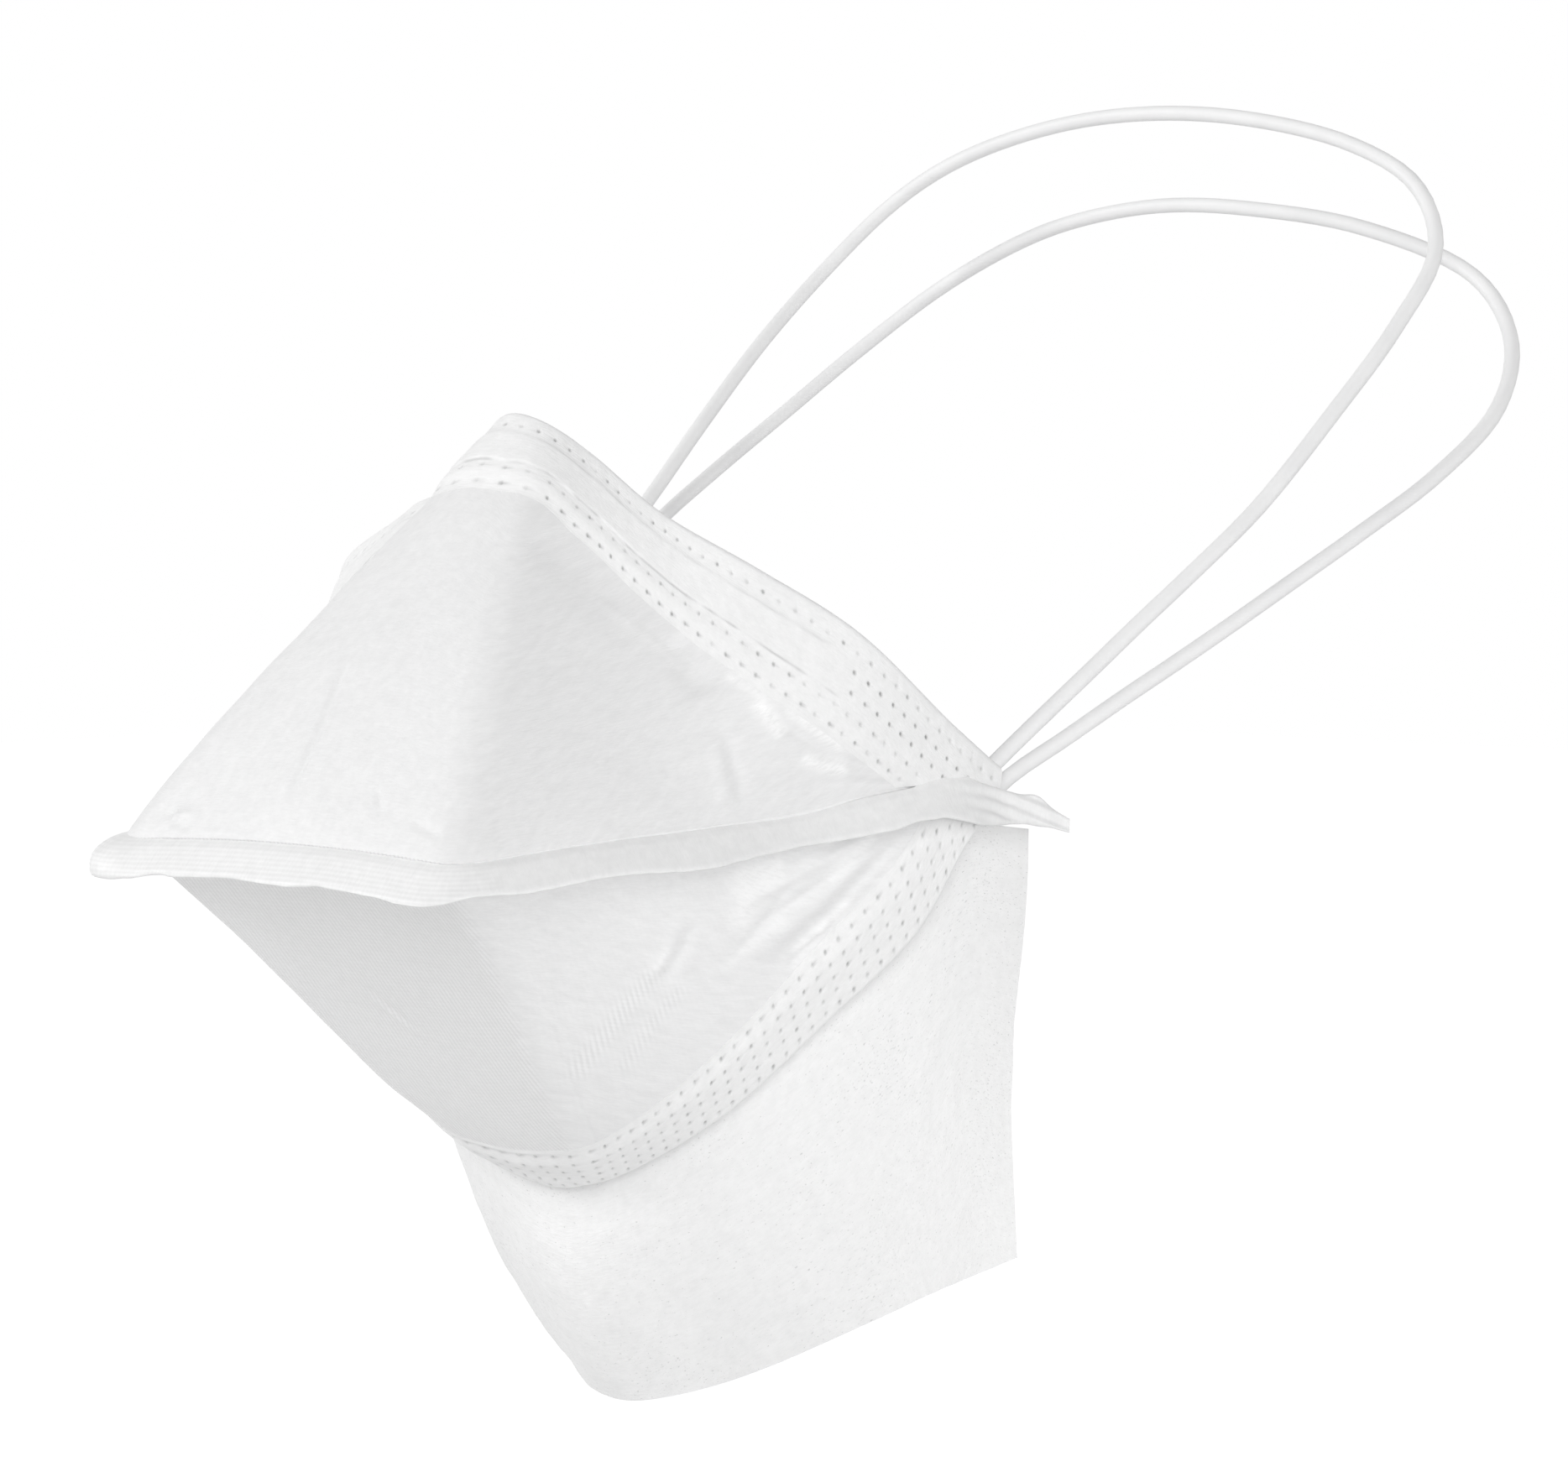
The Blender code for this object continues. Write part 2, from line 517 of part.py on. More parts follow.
# --- The mask --------------------------------------------------------------------
def build():
    for thing in list(bpy.data.objects):
        bpy.data.objects.remove(thing, do_unlink=True)
    cover = material("cover_nonwoven", (0.90, 0.90, 0.90), 0.75)
    lining = material("inner_nonwoven", (0.92, 0.92, 0.92), 0.8)
    filter_web = material("filter_web", (0.88, 0.89, 0.90), 0.9)
    binding = material("edge_binding", (0.93, 0.93, 0.93), 0.7)
    skirt = material("skirt_nonwoven", (0.92, 0.92, 0.92), 0.85)
    elastic = material("elastic", (0.90, 0.90, 0.90), 0.5)
    aluminium = material("aluminium", (0.80, 0.81, 0.82), 0.35, metallic=1.0)

    seam = seam_track()
    nose_edge = Track(catmull_rom([(x * WING_HALF_SPAN, -y * NOSE_REACH, z * NOSE_HEIGHT)
                                   for x, y, z in NOSE_SHAPE]))
    chin_edge = Track(catmull_rom([(x * WING_HALF_SPAN, -y * CHIN_REACH, -z * CHIN_DEPTH)
                                   for x, y, z in CHIN_SHAPE]))
    upper = Panel(seam, nose_edge, NOSE_ROUNDING, facing=1)
    lower = Panel(seam, chin_edge, CHIN_ROUNDING, facing=-1)

    filter_depth = COVER_PLY + PLY_GAP
    lining_depth = filter_depth + FILTER_PLY + PLY_GAP
    for half, panel, band in (("upper", upper, NOSE_BAND_WIDTH),
                              ("lower", lower, CHIN_BAND_WIDTH)):
        ply(f"outer_{half}_panel", panel, 0.0, COVER_PLY, band - BAND_TUCK, cover)
        ply(f"filter_{half}_panel", panel, filter_depth, FILTER_PLY, band + 2 * GAP,
            filter_web)
        ply(f"inner_{half}_panel", panel, lining_depth, COVER_PLY, band + 2 * GAP, lining)
    edge_band("nose_band", upper, NOSE_BAND_WIDTH, binding)
    edge_band("chin_band", lower, CHIN_BAND_WIDTH, binding)
    nose_wire(upper, aluminium)
    weld_flange(upper, binding)
    neck_skirt(lower, skirt, "skirt_drape_pivot")
    headband("upper_headband", UPPER_PIVOT, UPPER_ROUTE, elastic)
    headband("lower_headband", LOWER_PIVOT, LOWER_ROUTE, elastic)


build()
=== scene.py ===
"""Looks of the disposable dust mask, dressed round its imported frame.

Origin midway between the two side wings, at the face opening; -Y is forward and +Z is up.
Lengths in metres.  No cloth simulation: every fold is a vertex move with a fixed seed.
"""
import itertools
import math

import bpy
import numpy as np
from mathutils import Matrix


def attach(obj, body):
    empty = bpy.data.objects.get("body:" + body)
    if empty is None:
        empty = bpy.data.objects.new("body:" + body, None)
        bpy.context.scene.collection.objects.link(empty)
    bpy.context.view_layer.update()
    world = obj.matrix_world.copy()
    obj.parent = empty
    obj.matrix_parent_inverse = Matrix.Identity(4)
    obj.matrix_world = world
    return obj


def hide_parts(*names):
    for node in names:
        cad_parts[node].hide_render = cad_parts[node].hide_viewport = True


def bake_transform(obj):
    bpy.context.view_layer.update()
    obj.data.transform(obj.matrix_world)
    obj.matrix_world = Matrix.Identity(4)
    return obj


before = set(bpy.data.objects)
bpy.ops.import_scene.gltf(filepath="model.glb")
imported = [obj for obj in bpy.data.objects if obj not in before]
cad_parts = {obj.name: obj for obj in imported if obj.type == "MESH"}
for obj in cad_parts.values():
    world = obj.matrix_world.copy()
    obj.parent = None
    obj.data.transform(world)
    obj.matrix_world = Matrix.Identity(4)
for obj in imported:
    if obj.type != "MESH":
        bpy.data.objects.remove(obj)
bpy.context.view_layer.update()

MM = 0.001

# --- Camera ----------------------------------------------------------------------
CAMERA_SPOT = (0.645667, -0.657514, 0.055914)
CAMERA_TURN = math.radians(43.8675)
CAMERA_FALL = math.radians(3.1117)
SENSOR_WIDTH = 36
PHOTO_WIDTH = 1868
FOCAL_PIXELS = 6300


def add_camera():
    data = bpy.data.cameras.new("camera")
    data.sensor_fit = "HORIZONTAL"
    data.sensor_width = SENSOR_WIDTH
    data.lens = SENSOR_WIDTH * FOCAL_PIXELS / PHOTO_WIDTH
    camera = bpy.data.objects.new("camera", data)
    camera.location = CAMERA_SPOT
    camera.rotation_euler = (math.pi / 2 - CAMERA_FALL, 0, CAMERA_TURN)
    bpy.context.collection.objects.link(camera)
    bpy.context.scene.camera = camera


# --- Sizes shared with the solids ------------------------------------------------
WING_HALF_SPAN = 64.0 * MM
WING_LENGTH = 11.3 * MM
FRONT_HALF_WIDTH = 41.5 * MM
FRONT_REACH = 103.0 * MM
FRONT_DROP = 9.2 * MM
FRONT_ARCH = 1.6 * MM
FRONT_CORNER_RADIUS = 6.0 * MM
FRONT_CORNER_ARC = 1.7
NOSE_HEIGHT = 61.7 * MM
NOSE_REACH = 50.4 * MM
CHIN_DEPTH = 69.9 * MM
CHIN_REACH = 41.1 * MM
NOSE_ROUNDING = 9.0 * MM
CHIN_ROUNDING = 14.0 * MM
FACET_SHARE = 0.6
SIDE_PUFF = 1.0 * MM
COVER_PLY = 0.4 * MM
FILTER_PLY = 0.6 * MM
PLY_GAP = 0.4 * MM
SKIRT_PLY = 0.5 * MM
NOSE_BAND_WIDTH = 18.5 * MM
CHIN_BAND_WIDTH = 13.0 * MM
BAND_PLY = 0.4 * MM
BAND_TUCK = 5.5 * MM
FLANGE_DROOP = math.radians(50)
WING_DROOP = math.radians(72)
DROOP_RAMP = 24.0 * MM
STAND_OFF_FROM = 40.0 * MM
STAND_OFF_TO = 14.0 * MM
SKIRT_OVERLAP = 6.0 * MM
SKIRT_FRONT_DEPTH = 108.3 * MM
SKIRT_REAR_DEPTH = 80.3 * MM
SKIRT_FRONT_REACH = 27.2 * MM
SKIRT_REAR_BACK = 6.7 * MM
SKIRT_SIDE_INSET = 2.0 * MM
SKIRT_TOP_DROP = 8.2 * MM
SKIRT_SWELL = 4.0 * MM
SKIRT_SWELL_FULL = 12.4 * MM
SKIRT_SWELL_NONE = 55.8 * MM
SKIRT_LEAST_HEIGHT = 12.6 * MM
SKIRT_LAP_SETBACK = 2.6 * MM
SKIRT_STRAIGHT = 0.72
CORD_DIAMETER = 2.8 * MM
CORD_CLEARANCE = 1.4 * MM
WELD_RADIUS = 1.5 * MM
GAP = 0.3 * MM
UPPER_PIVOT = (-5.6 * MM, -2.4 * MM)
LOWER_PIVOT = (-2.6 * MM, -4.8 * MM)
UPPER_ROUTE = ((60.4, 3.0, 3.6), (63.1, 10.4, 10.2), (66.4, 19.6, 18.2), (69.2, 29.1, 26.1),
               (71.9, 39.1, 34.0), (74.6, 54.2, 45.5), (76.5, 71.5, 61.0), (77.3, 89.0, 76.8),
               (74.6, 104.0, 91.0), (64.5, 111.2, 103.0), (49.2, 112.4, 110.8),
               (24.5, 111.6, 116.6), (0.0, 111.0, 118.4))
LOWER_ROUTE = ((61.5, 4.9, 0.9), (65.5, 14.4, 7.0), (69.5, 23.8, 13.2), (73.4, 33.4, 19.2),
               (77.3, 43.4, 25.5), (81.5, 54.2, 32.5), (85.9, 67.5, 40.7), (88.5, 86.0, 50.7),
               (87.5, 105.2, 62.5), (80.0, 119.3, 75.2), (65.5, 127.0, 87.2),
               (40.8, 125.5, 96.5), (19.0, 121.5, 100.3), (0.0, 120.6, 101.6))
NOSE_SHAPE = ((0.0, 1.0, 1.0), (0.10, 0.985, 0.968), (0.24, 0.93, 0.875), (0.47, 0.915, 0.73),
              (0.78, 0.86, 0.583), (0.95, 0.64, 0.425), (1.0, 0.26, 0.175), (0.995, -0.02, 0.03))
CHIN_SHAPE = ((0.0, 1.0, 1.0), (0.22, 1.01, 0.947), (0.58, 0.934, 0.772), (0.81, 0.70, 0.542),
              (0.94, 0.415, 0.346), (1.0, 0.18, 0.12), (0.997, -0.02, 0.06))
SEAM_SHAPE = ((0.0, 1.0, 1.0), (0.29, 0.79, 0.71), (0.51, 0.555, 0.51), (0.64, 0.393, 0.36),
              (0.82, 0.238, 0.04), (0.92, 0.11, -0.06), (1.0, -0.01, 0.20))
WING_DIRECTION = (0.71, 0.60, -0.37)
HEM_SHAPE = ((0.0, 0.0, 0.0), (0.13, 0.02, 0.05), (0.27, 0.15, 0.145), (0.43, 0.28, 0.29),
             (0.58, 0.40, 0.46), (0.77, 0.61, 0.70), (0.90, 0.77, 0.86), (1.0, 1.0, 1.0))
FOLD_START = 0.24
FOLD_END = 0.34
SIDE_PUFF_FROM = 0.6
FLAT_FROM = 0.7


# --- Curves and surfaces, as in the solids ---------------------------------------
CURVE_STEPS = 16               # points from one given place of a curve to the next
EASING_STEP = 0.5 * MM


def catmull_rom(points):
    """Centripetal Catmull-Rom curve through the points."""
    points = np.array(points, float)
    run = np.vstack((2 * points[0] - points[1], points, 2 * points[-1] - points[-2]))
    steps = np.sqrt(np.linalg.norm(np.diff(run, axis=0), axis=1))
    knots = np.concatenate(([0.0], np.cumsum(steps)))

    def blend(i, t):
        def mix(a, b, low, high):
            share = (t - knots[low]) / (knots[high] - knots[low])
            return a * (1 - share) + b * share
        level = [mix(run[i + j], run[i + j + 1], i + j, i + j + 1) for j in range(3)]
        level = [mix(level[j], level[j + 1], i + j, i + j + 2) for j in range(2)]
        return mix(level[0], level[1], i + 1, i + 2)

    curve = [blend(i, t) for i in range(len(points) - 1)
             for t in np.linspace(knots[i + 1], knots[i + 2], CURVE_STEPS, endpoint=False)]
    return np.array(curve + [points[-1]])


class Track:
    """A line of points, read by distance along it."""

    def __init__(self, points):
        self.points = np.array(points, float)
        steps = np.linalg.norm(np.diff(self.points, axis=0), axis=1)
        self.distance = np.concatenate(([0.0], np.cumsum(steps)))
        self.length = self.distance[-1]

    def at(self, distance):
        return np.stack([np.interp(distance, self.distance, self.points[:, axis])
                         for axis in range(3)], axis=-1)


def unit(vectors):
    return vectors / np.linalg.norm(vectors, axis=-1, keepdims=True)


def smooth_step(low, high, value):
    share = np.clip((value - low) / (high - low), 0.0, 1.0)
    return share * share * (3 - 2 * share)


def evened(values, reach):
    """Values smoothed along their first axis over that many neighbours, ends held."""
    kernel = np.hanning(2 * reach + 3)[1:-1]
    kernel /= kernel.sum()
    before = 2 * values[:1] - values[reach:0:-1]
    after = 2 * values[-1:] - values[-2:-reach - 2:-1]
    padded = np.concatenate((before, values, after))
    return sum(k * padded[i:i + len(values)] for i, k in enumerate(kernel))


def softened(values, taps):
    """Values smoothed along their first axis by a window that long, end values held."""
    kernel = np.hanning(taps) / np.hanning(taps).sum()

    def soft(column):
        return np.convolve(np.pad(column, taps // 2, mode="edge"), kernel, "valid")
    return np.apply_along_axis(soft, 0, values)


def eased(points, spread):
    """A half line whose mirrored middle is rounded, as soft cloth rounds it."""
    half = Track(points)
    distance = np.linspace(0, half.length, int(half.length / EASING_STEP))
    line = half.at(distance)
    whole = np.vstack((line[:0:-1] * (-1, 1, 1), line))
    round_line = evened(whole, int(spread / EASING_STEP))[len(line) - 1:]
    share = smooth_step(1.5 * spread, 3 * spread, distance)[:, None]
    return Track(round_line * (1 - share) + line * share)


def mirrored(points, side):
    """Points of the +X half, taken to the -X side where side is negative."""
    return points * np.stack([np.where(side < 0, -1.0, 1.0), np.ones_like(side),
                              np.ones_like(side)], axis=-1)


def seam_track():
    corner = np.array((FRONT_HALF_WIDTH, -FRONT_REACH, -FRONT_DROP))
    side = [(FRONT_HALF_WIDTH + x * (WING_HALF_SPAN - FRONT_HALF_WIDTH),
             -y * FRONT_REACH, -z * FRONT_DROP) for x, y, z in SEAM_SHAPE]
    tip = np.array(side[-1]) + WING_LENGTH * unit(np.array(WING_DIRECTION))
    side = Track(catmull_rom(side + [tip]))
    front = [(x, -FRONT_REACH, -FRONT_DROP + FRONT_ARCH * (1 - (x / FRONT_HALF_WIDTH) ** 2))
             for x in np.linspace(0, FRONT_HALF_WIDTH - FRONT_CORNER_RADIUS, 6)]
    enter = np.array(front[-1])
    leave = side.at(FRONT_CORNER_RADIUS)
    turn = [enter * (1 - t) ** 2 + corner * 2 * t * (1 - t) + leave * t ** 2
            for t in np.linspace(0, 1, 9)[1:-1]]
    rest = side.points[side.distance > FRONT_CORNER_RADIUS]
    return Track(np.vstack((front, turn, [leave], rest)))


SAG_REACH = 34 * MM            # how far along the edge a sag reaches
NOSE_EASING = 5 * MM           # how far cloth rounds a line off where its halves meet
CHIN_EASING = 8 * MM


class Panel:
    """Upper or lower half of the pouch: u from wing to wing (-1 to 1), v from seam to edge."""

    def __init__(self, seam, edge, rounding, facing, swell, sag=(0, 0, 0)):
        self.seam = seam
        self.edge = edge
        self.facing = facing
        self.swell = swell              # height of the front's swell, and its lean along v
        self.sag = sag                  # how far the -X side of the edge has sunk, in mm
        front = FRONT_HALF_WIDTH - FRONT_CORNER_RADIUS
        self.knots = (0.0, FOLD_START, FOLD_END, 1.0)
        self.seam_knots = (0.0, front, front + FRONT_CORNER_ARC * FRONT_CORNER_RADIUS,
                           seam.length - WING_LENGTH)
        self.edge_knots = (0.0, FACET_SHARE * rounding, rounding, edge.length)

    def seam_distance(self, u):
        return np.interp(np.abs(u), self.knots, self.seam_knots)

    def edge_distance(self, u):
        return np.interp(np.abs(u), self.knots, self.edge_knots)

    def seam_at(self, u):
        return mirrored(self.seam.at(self.seam_distance(u)), u)

    def edge_at(self, u):
        distance = self.edge_distance(u)
        far = np.where(np.asarray(u) < 0, np.clip(distance / SAG_REACH, 0, 1), 0)
        sag = (np.sin(np.pi * far) ** 2)[..., None] * np.array(self.sag) * MM
        return mirrored(self.edge.at(distance), u) + sag

    def height(self, u):
        return np.linalg.norm(self.edge_at(u) - self.seam_at(u), axis=-1)

    def puff(self, u, v):
        side = smooth_step(FOLD_END, SIDE_PUFF_FROM, np.abs(u))
        front, lean = self.swell
        v = np.clip(v, 0, 1)
        swell = (front * np.sin(np.pi * v ** lean) * (1 - side)
                 + SIDE_PUFF * np.sin(np.pi * v) * side)
        return swell * (1 - smooth_step(FLAT_FROM, 1.0, np.abs(u)))

    def point(self, u, v):
        low = self.seam_at(u)
        rise = self.edge_at(u) - low
        step = 1e-3
        across = (self.seam_at(u + step) + self.edge_at(u + step)
                  - self.seam_at(u - step) - self.edge_at(u - step))
        outward = self.facing * unit(np.cross(across, rise))
        return low + rise * v[..., None] + outward * self.puff(u, v)[..., None]

    def normal(self, u, v):
        step = 4e-3
        across = self.point(u + step, v) - self.point(u - step, v)
        along = self.point(u, v + step) - self.point(u, v - step)
        return self.facing * unit(np.cross(across, along))

    def layer(self, u, from_edge, offset):
        """Points at a distance from the opening edge, offset outward from the surface."""
        v = 1 - from_edge / self.height(u)
        return self.point(u, v) + self.normal(u, v) * np.asarray(offset)[..., None]

    def last_column(self, least_height):
        u = np.linspace(FOLD_END, 1.0, 400)
        return u[self.height(u) >= least_height].max()

    def along(self, u, v):
        """Signed distance along the cloth from the middle, for threads and ribs."""
        return np.sign(u) * (self.seam_distance(u) * (1 - v) + self.edge_distance(u) * v)


seam = seam_track()
wing_root = seam.length - WING_LENGTH
nose_edge = eased(catmull_rom([(x * WING_HALF_SPAN, -y * NOSE_REACH, z * NOSE_HEIGHT)
                               for x, y, z in NOSE_SHAPE]), NOSE_EASING)
chin_edge = eased(catmull_rom([(x * WING_HALF_SPAN, -y * CHIN_REACH, -z * CHIN_DEPTH)
                               for x, y, z in CHIN_SHAPE]), CHIN_EASING)
upper = Panel(seam, nose_edge, NOSE_ROUNDING, facing=1, swell=(2.1 * MM, 0.7),
              sag=(4.2, 0.0, -3.6))
lower = Panel(seam, chin_edge, CHIN_ROUNDING, facing=-1, swell=(3.0 * MM, 2.3))


# --- Noise and creases -----------------------------------------------------------
def noise(points, cell, seed):
    """Smooth value noise from -1 to 1, with cells of that size."""
    spot = np.asarray(points) / cell + 4096.0
    base = np.floor(spot).astype(np.int64)
    part = spot - base
    part = part * part * (3 - 2 * part)
    total = np.zeros(spot.shape[:-1])
    for corner in itertools.product((0, 1), repeat=spot.shape[-1]):
        key = np.full(spot.shape[:-1], seed * 7919 + 17, np.int64)
        weight = np.ones(spot.shape[:-1])
        for axis, bit in enumerate(corner):
            key = (key * 1000003) ^ (base[..., axis] + bit)
            key &= 0xFFFFFFFF
            weight = weight * (part[..., axis] if bit else 1 - part[..., axis])
        key = ((key ^ (key >> 15)) * 2246822519) & 0xFFFFFFFF
        key = ((key ^ (key >> 13)) * 3266489917) & 0xFFFFFFFF
        key ^= key >> 16
        total += weight * (key / 2147483648.0 - 1)
    return total


def from_line(points, line):
    """Distance to a line of points, and how far along it the nearest point is (0 to 1)."""
    lengths = np.linalg.norm(np.diff(line, axis=0), axis=1)
    starts = np.concatenate(([0], np.cumsum(lengths)))
    best = np.full(points.shape[:-1], np.inf)
    share = np.zeros(points.shape[:-1])
    for a, b, start, length in zip(line[:-1], line[1:], starts, lengths):
        along = np.clip((points - a) @ (b - a) / length ** 2, 0, 1)
        gap = np.linalg.norm(points - a - along[..., None] * (b - a), axis=-1)
        nearer = gap < best
        best = np.where(nearer, gap, best)
        share = np.where(nearer, (start + along * length) / starts[-1], share)
    return best, share


def crease(points, line, width, height, tail=0.25):
    """A soft ridge (or valley, where height is negative) along a line, fading at its ends."""
    gap, share = from_line(points, line)
    fade = smooth_step(0, tail, share) * smooth_step(0, tail, 1 - share)
    return height * np.exp(-(gap / width) ** 2) * fade


NEAR_SIDE_FROM = 0.29          # the share u at which the near side begins
FAR_COPY = (-0.97, 0.95)       # what moves a near place to the far side, in u and v
FAR_STRENGTH = 0.8


def with_far_side(marks):
    """The marks, and a weaker copy on the far side of those on the near side."""
    across, up = FAR_COPY
    return [*marks, *((width, FAR_STRENGTH * height, *((across * u, up * v) for u, v in spots))
                      for width, height, *spots in marks if spots[0][0] > NEAR_SIDE_FROM)]


def panel_creases(panel, points, creases):
    total = np.zeros(points.shape[:-1])
    for width, height, *spots in with_far_side(creases):
        u, v = np.array(spots, float).T
        fine = np.linspace(0, len(u) - 1, 4 * len(u))
        u, v = (np.interp(fine, np.arange(len(u)), values) for values in (u, v))
        total += crease(points, panel.point(u, v), width * MM, height * MM)
    return total


def panel_marks(panel, points, marks):
    """Soft patches along lines on a panel, from 0 to 1."""
    total = np.zeros(points.shape[:-1])
    for width, strength, *spots in with_far_side(marks):
        u, v = np.array(spots, float).T
        total = np.maximum(total, crease(points, panel.point(u, v), width * MM, strength, 0.15))
    return total


# --- Materials -------------------------------------------------------------------
class Look:
    """A small builder for node materials."""

    def __init__(self, name, roughness, **settings):
        self.material = bpy.data.materials.new(name)
        self.material.use_nodes = True
        self.nodes = self.material.node_tree.nodes
        self.links = self.material.node_tree.links
        self.shader = self.nodes["Principled BSDF"]
        self.shader.inputs["Roughness"].default_value = roughness
        for socket, value in settings.items():
            self.shader.inputs[socket.replace("_", " ")].default_value = value

    def wire(self, value, socket):
        if isinstance(value, bpy.types.NodeSocket):
            self.links.new(value, socket)
        else:
            socket.default_value = value

    def node(self, kind, output=0, inputs=(), **settings):
        made = self.nodes.new(kind)
        for key, value in settings.items():
            setattr(made, key, value)
        for key, value in dict(inputs).items():
            self.wire(value, made.inputs[key])
        return made.outputs[output]

    def maths(self, operation, *values):
        return self.node("ShaderNodeMath", operation=operation, inputs=enumerate(values))

    def field(self, name, output="Fac"):
        return self.node("ShaderNodeAttribute", output, attribute_name=name)

    def scaled(self, vector, scale, turn=0.0, shift=(0, 0, 0)):
        return self.node("ShaderNodeMapping", inputs={
            "Vector": vector, "Scale": scale, "Rotation": (0, 0, turn), "Location": shift})

    def noise(self, vector, detail=2.0, rough=0.5):
        return self.node("ShaderNodeTexNoise", "Fac", inputs={
            "Vector": vector, "Scale": 1.0, "Detail": detail, "Roughness": rough})

    def remap(self, value, low, high, to_low, to_high):
        return self.node("ShaderNodeMapRange", inputs={
            "Value": value, "From Min": low, "From Max": high,
            "To Min": to_low, "To Max": to_high})

    def plus(self, value, more, weight):
        return self.maths("ADD", value, self.maths("MULTIPLY", more, weight))

    def bump(self, height, strength, distance):
        return self.node("ShaderNodeBump", inputs={
            "Height": height, "Strength": strength, "Distance": distance})

    def finish(self, colour, normal=None, roughness=None):
        self.wire(colour, self.shader.inputs["Base Color"])
        if normal is not None:
            self.wire(normal, self.shader.inputs["Normal"])
        if roughness is not None:
            self.wire(roughness, self.shader.inputs["Roughness"])
        return self.material


def fibres(look, cloth, size, seed):
    """Short crossing fibres: three stretched noises, each turned another way."""
    total = None
    for index, turn in enumerate((0.35, 1.45, 2.5)):
        layer = look.noise(look.scaled(cloth, (0.22 / size, 1.0 / size, 1.0 / size), turn,
                                       (seed + 3.1 * index, 1.7 * index, 0.3)), 2.0, 0.6)
        total = layer if total is None else look.maths("ADD", total, layer)
    return look.maths("MULTIPLY", total, 1 / 3)


def blend_colour(look, factor, a, b):
    mix = look.nodes.new("ShaderNodeMix")
    mix.data_type = "RGBA"
    look.wire(factor, mix.inputs["Factor"])
    for value, socket in ((a, mix.inputs[6]), (b, mix.inputs[7])):
        look.wire((*value, 1) if isinstance(value, tuple) else value, socket)
    return mix.outputs[2]


RIB_PITCH = 0.93 * MM          # from one embossed rib to the next
CLOTH_RELIEF = 0.06 * MM       # height of the cloth's relief at full strength
DOT_SHADE = 0.27               # colour at the bottom of a melted dot, as a share
SPECK_SHADE = 0.55             # the same for a speck
# White painted into the glossy patches' colour: a painted highlight.
PAINTED_HIGHLIGHT_WHITE = (0.99, 0.99, 0.99)


def nonwoven(name, colour, roughness, grain=0.35, relief=0.5, mottle=0.05, streak=0.0,
             ribs=0.0, pebble=0.0, specks=0.0, dots=False, shine=False, **settings):
    """Spunbond cloth: fibres with a grain in mm and mottling, and where asked drawn
    streaks, embossed ribs, pebbling, dark specks, melted dots and glossy patches whose colour is
    painted whiter as a painted highlight."""
    look = Look(name, roughness, **settings)
    cloth = look.field("cloth", "Vector")
    fibre = fibres(look, cloth, grain * MM, len(name))
    patchy = look.noise(look.scaled(cloth, (420, 420, 420)), 5.0, 0.68)
    height = look.remap(fibre, 0.3, 0.7, 0, 1)
    shade = look.plus(look.maths("MULTIPLY", fibre, 0.45), patchy, 0.55)
    if streak:
        drawn = look.noise(look.scaled(cloth, (55, 620, 620), -0.12), 3.0, 0.6)
        drawn = look.remap(drawn, 0.3, 0.7, -0.5, 0.5)
        height = look.plus(height, drawn, streak * 2.5)
        shade = look.plus(shade, drawn, streak)
    if pebble:
        lumps = look.noise(look.scaled(cloth, (900, 900, 900)), 2.0, 0.5)
        height = look.plus(height, lumps, pebble)
    if ribs:
        turn = math.tau / RIB_PITCH
        y = look.node("ShaderNodeSeparateXYZ", 1, {"Vector": cloth})
        wave = look.maths("SINE", look.maths("MULTIPLY", look.field("rib"), turn))
        beads = look.maths("SINE", look.maths("MULTIPLY", y, turn))
        weave = look.plus(wave, beads, 0.3)
        weave = look.maths("MULTIPLY", weave, look.maths("MULTIPLY", look.field("ribbed"), ribs))
        height = look.plus(height, weave, 0.6)
        # The tone follows the ribs too, darker in their grooves: painted shade, over the bumped
        # relief.
        shade = look.plus(shade, weave, 0.30)
    pale = look.remap(shade, 0.34, 0.66, 0, 1)
    tone = blend_colour(look, pale, tuple(c * (1 - mottle) for c in colour), colour)
    if specks:
        speck = look.noise(look.scaled(cloth, (1200, 3000, 3000), 0.7), 3.0, 0.6)
        more = look.remap(look.noise(look.scaled(cloth, (45, 45, 45)), 2.0), 0.3, 0.7,
                          0.695, 0.620)
        hit = look.maths("GREATER_THAN", speck, more)
        tone = blend_colour(look, look.maths("MULTIPLY", hit, specks), tone,
                            tuple(c * SPECK_SHADE for c in colour))
    rough = look.remap(fibre, 0.3, 0.7, roughness + 0.06, roughness - 0.06)
    if shine:
        # Glossy patches: their roughness is lowered, and their colour is painted whiter as a
        # painted highlight.
        highlight_patch = look.field("shine")
        broken = look.remap(look.noise(look.scaled(cloth, (1100, 1100, 1100)), 3.0, 0.6),
                            0.36, 0.56, 0.30, 1)
        highlight_patch = look.maths("MULTIPLY", highlight_patch, broken)
        tone = blend_colour(look, highlight_patch, tone, PAINTED_HIGHLIGHT_WHITE)
        rough = look.maths("SUBTRACT", rough, look.maths("MULTIPLY", highlight_patch, 0.22))
    if dots:
        tone = blend_colour(look, look.field("dot"), tone,
                            tuple(c * DOT_SHADE for c in colour))
    return look.finish(tone, look.bump(height, relief, CLOTH_RELIEF), rough)


# --- Building meshes -------------------------------------------------------------
SHARP_ANGLE = math.radians(60)


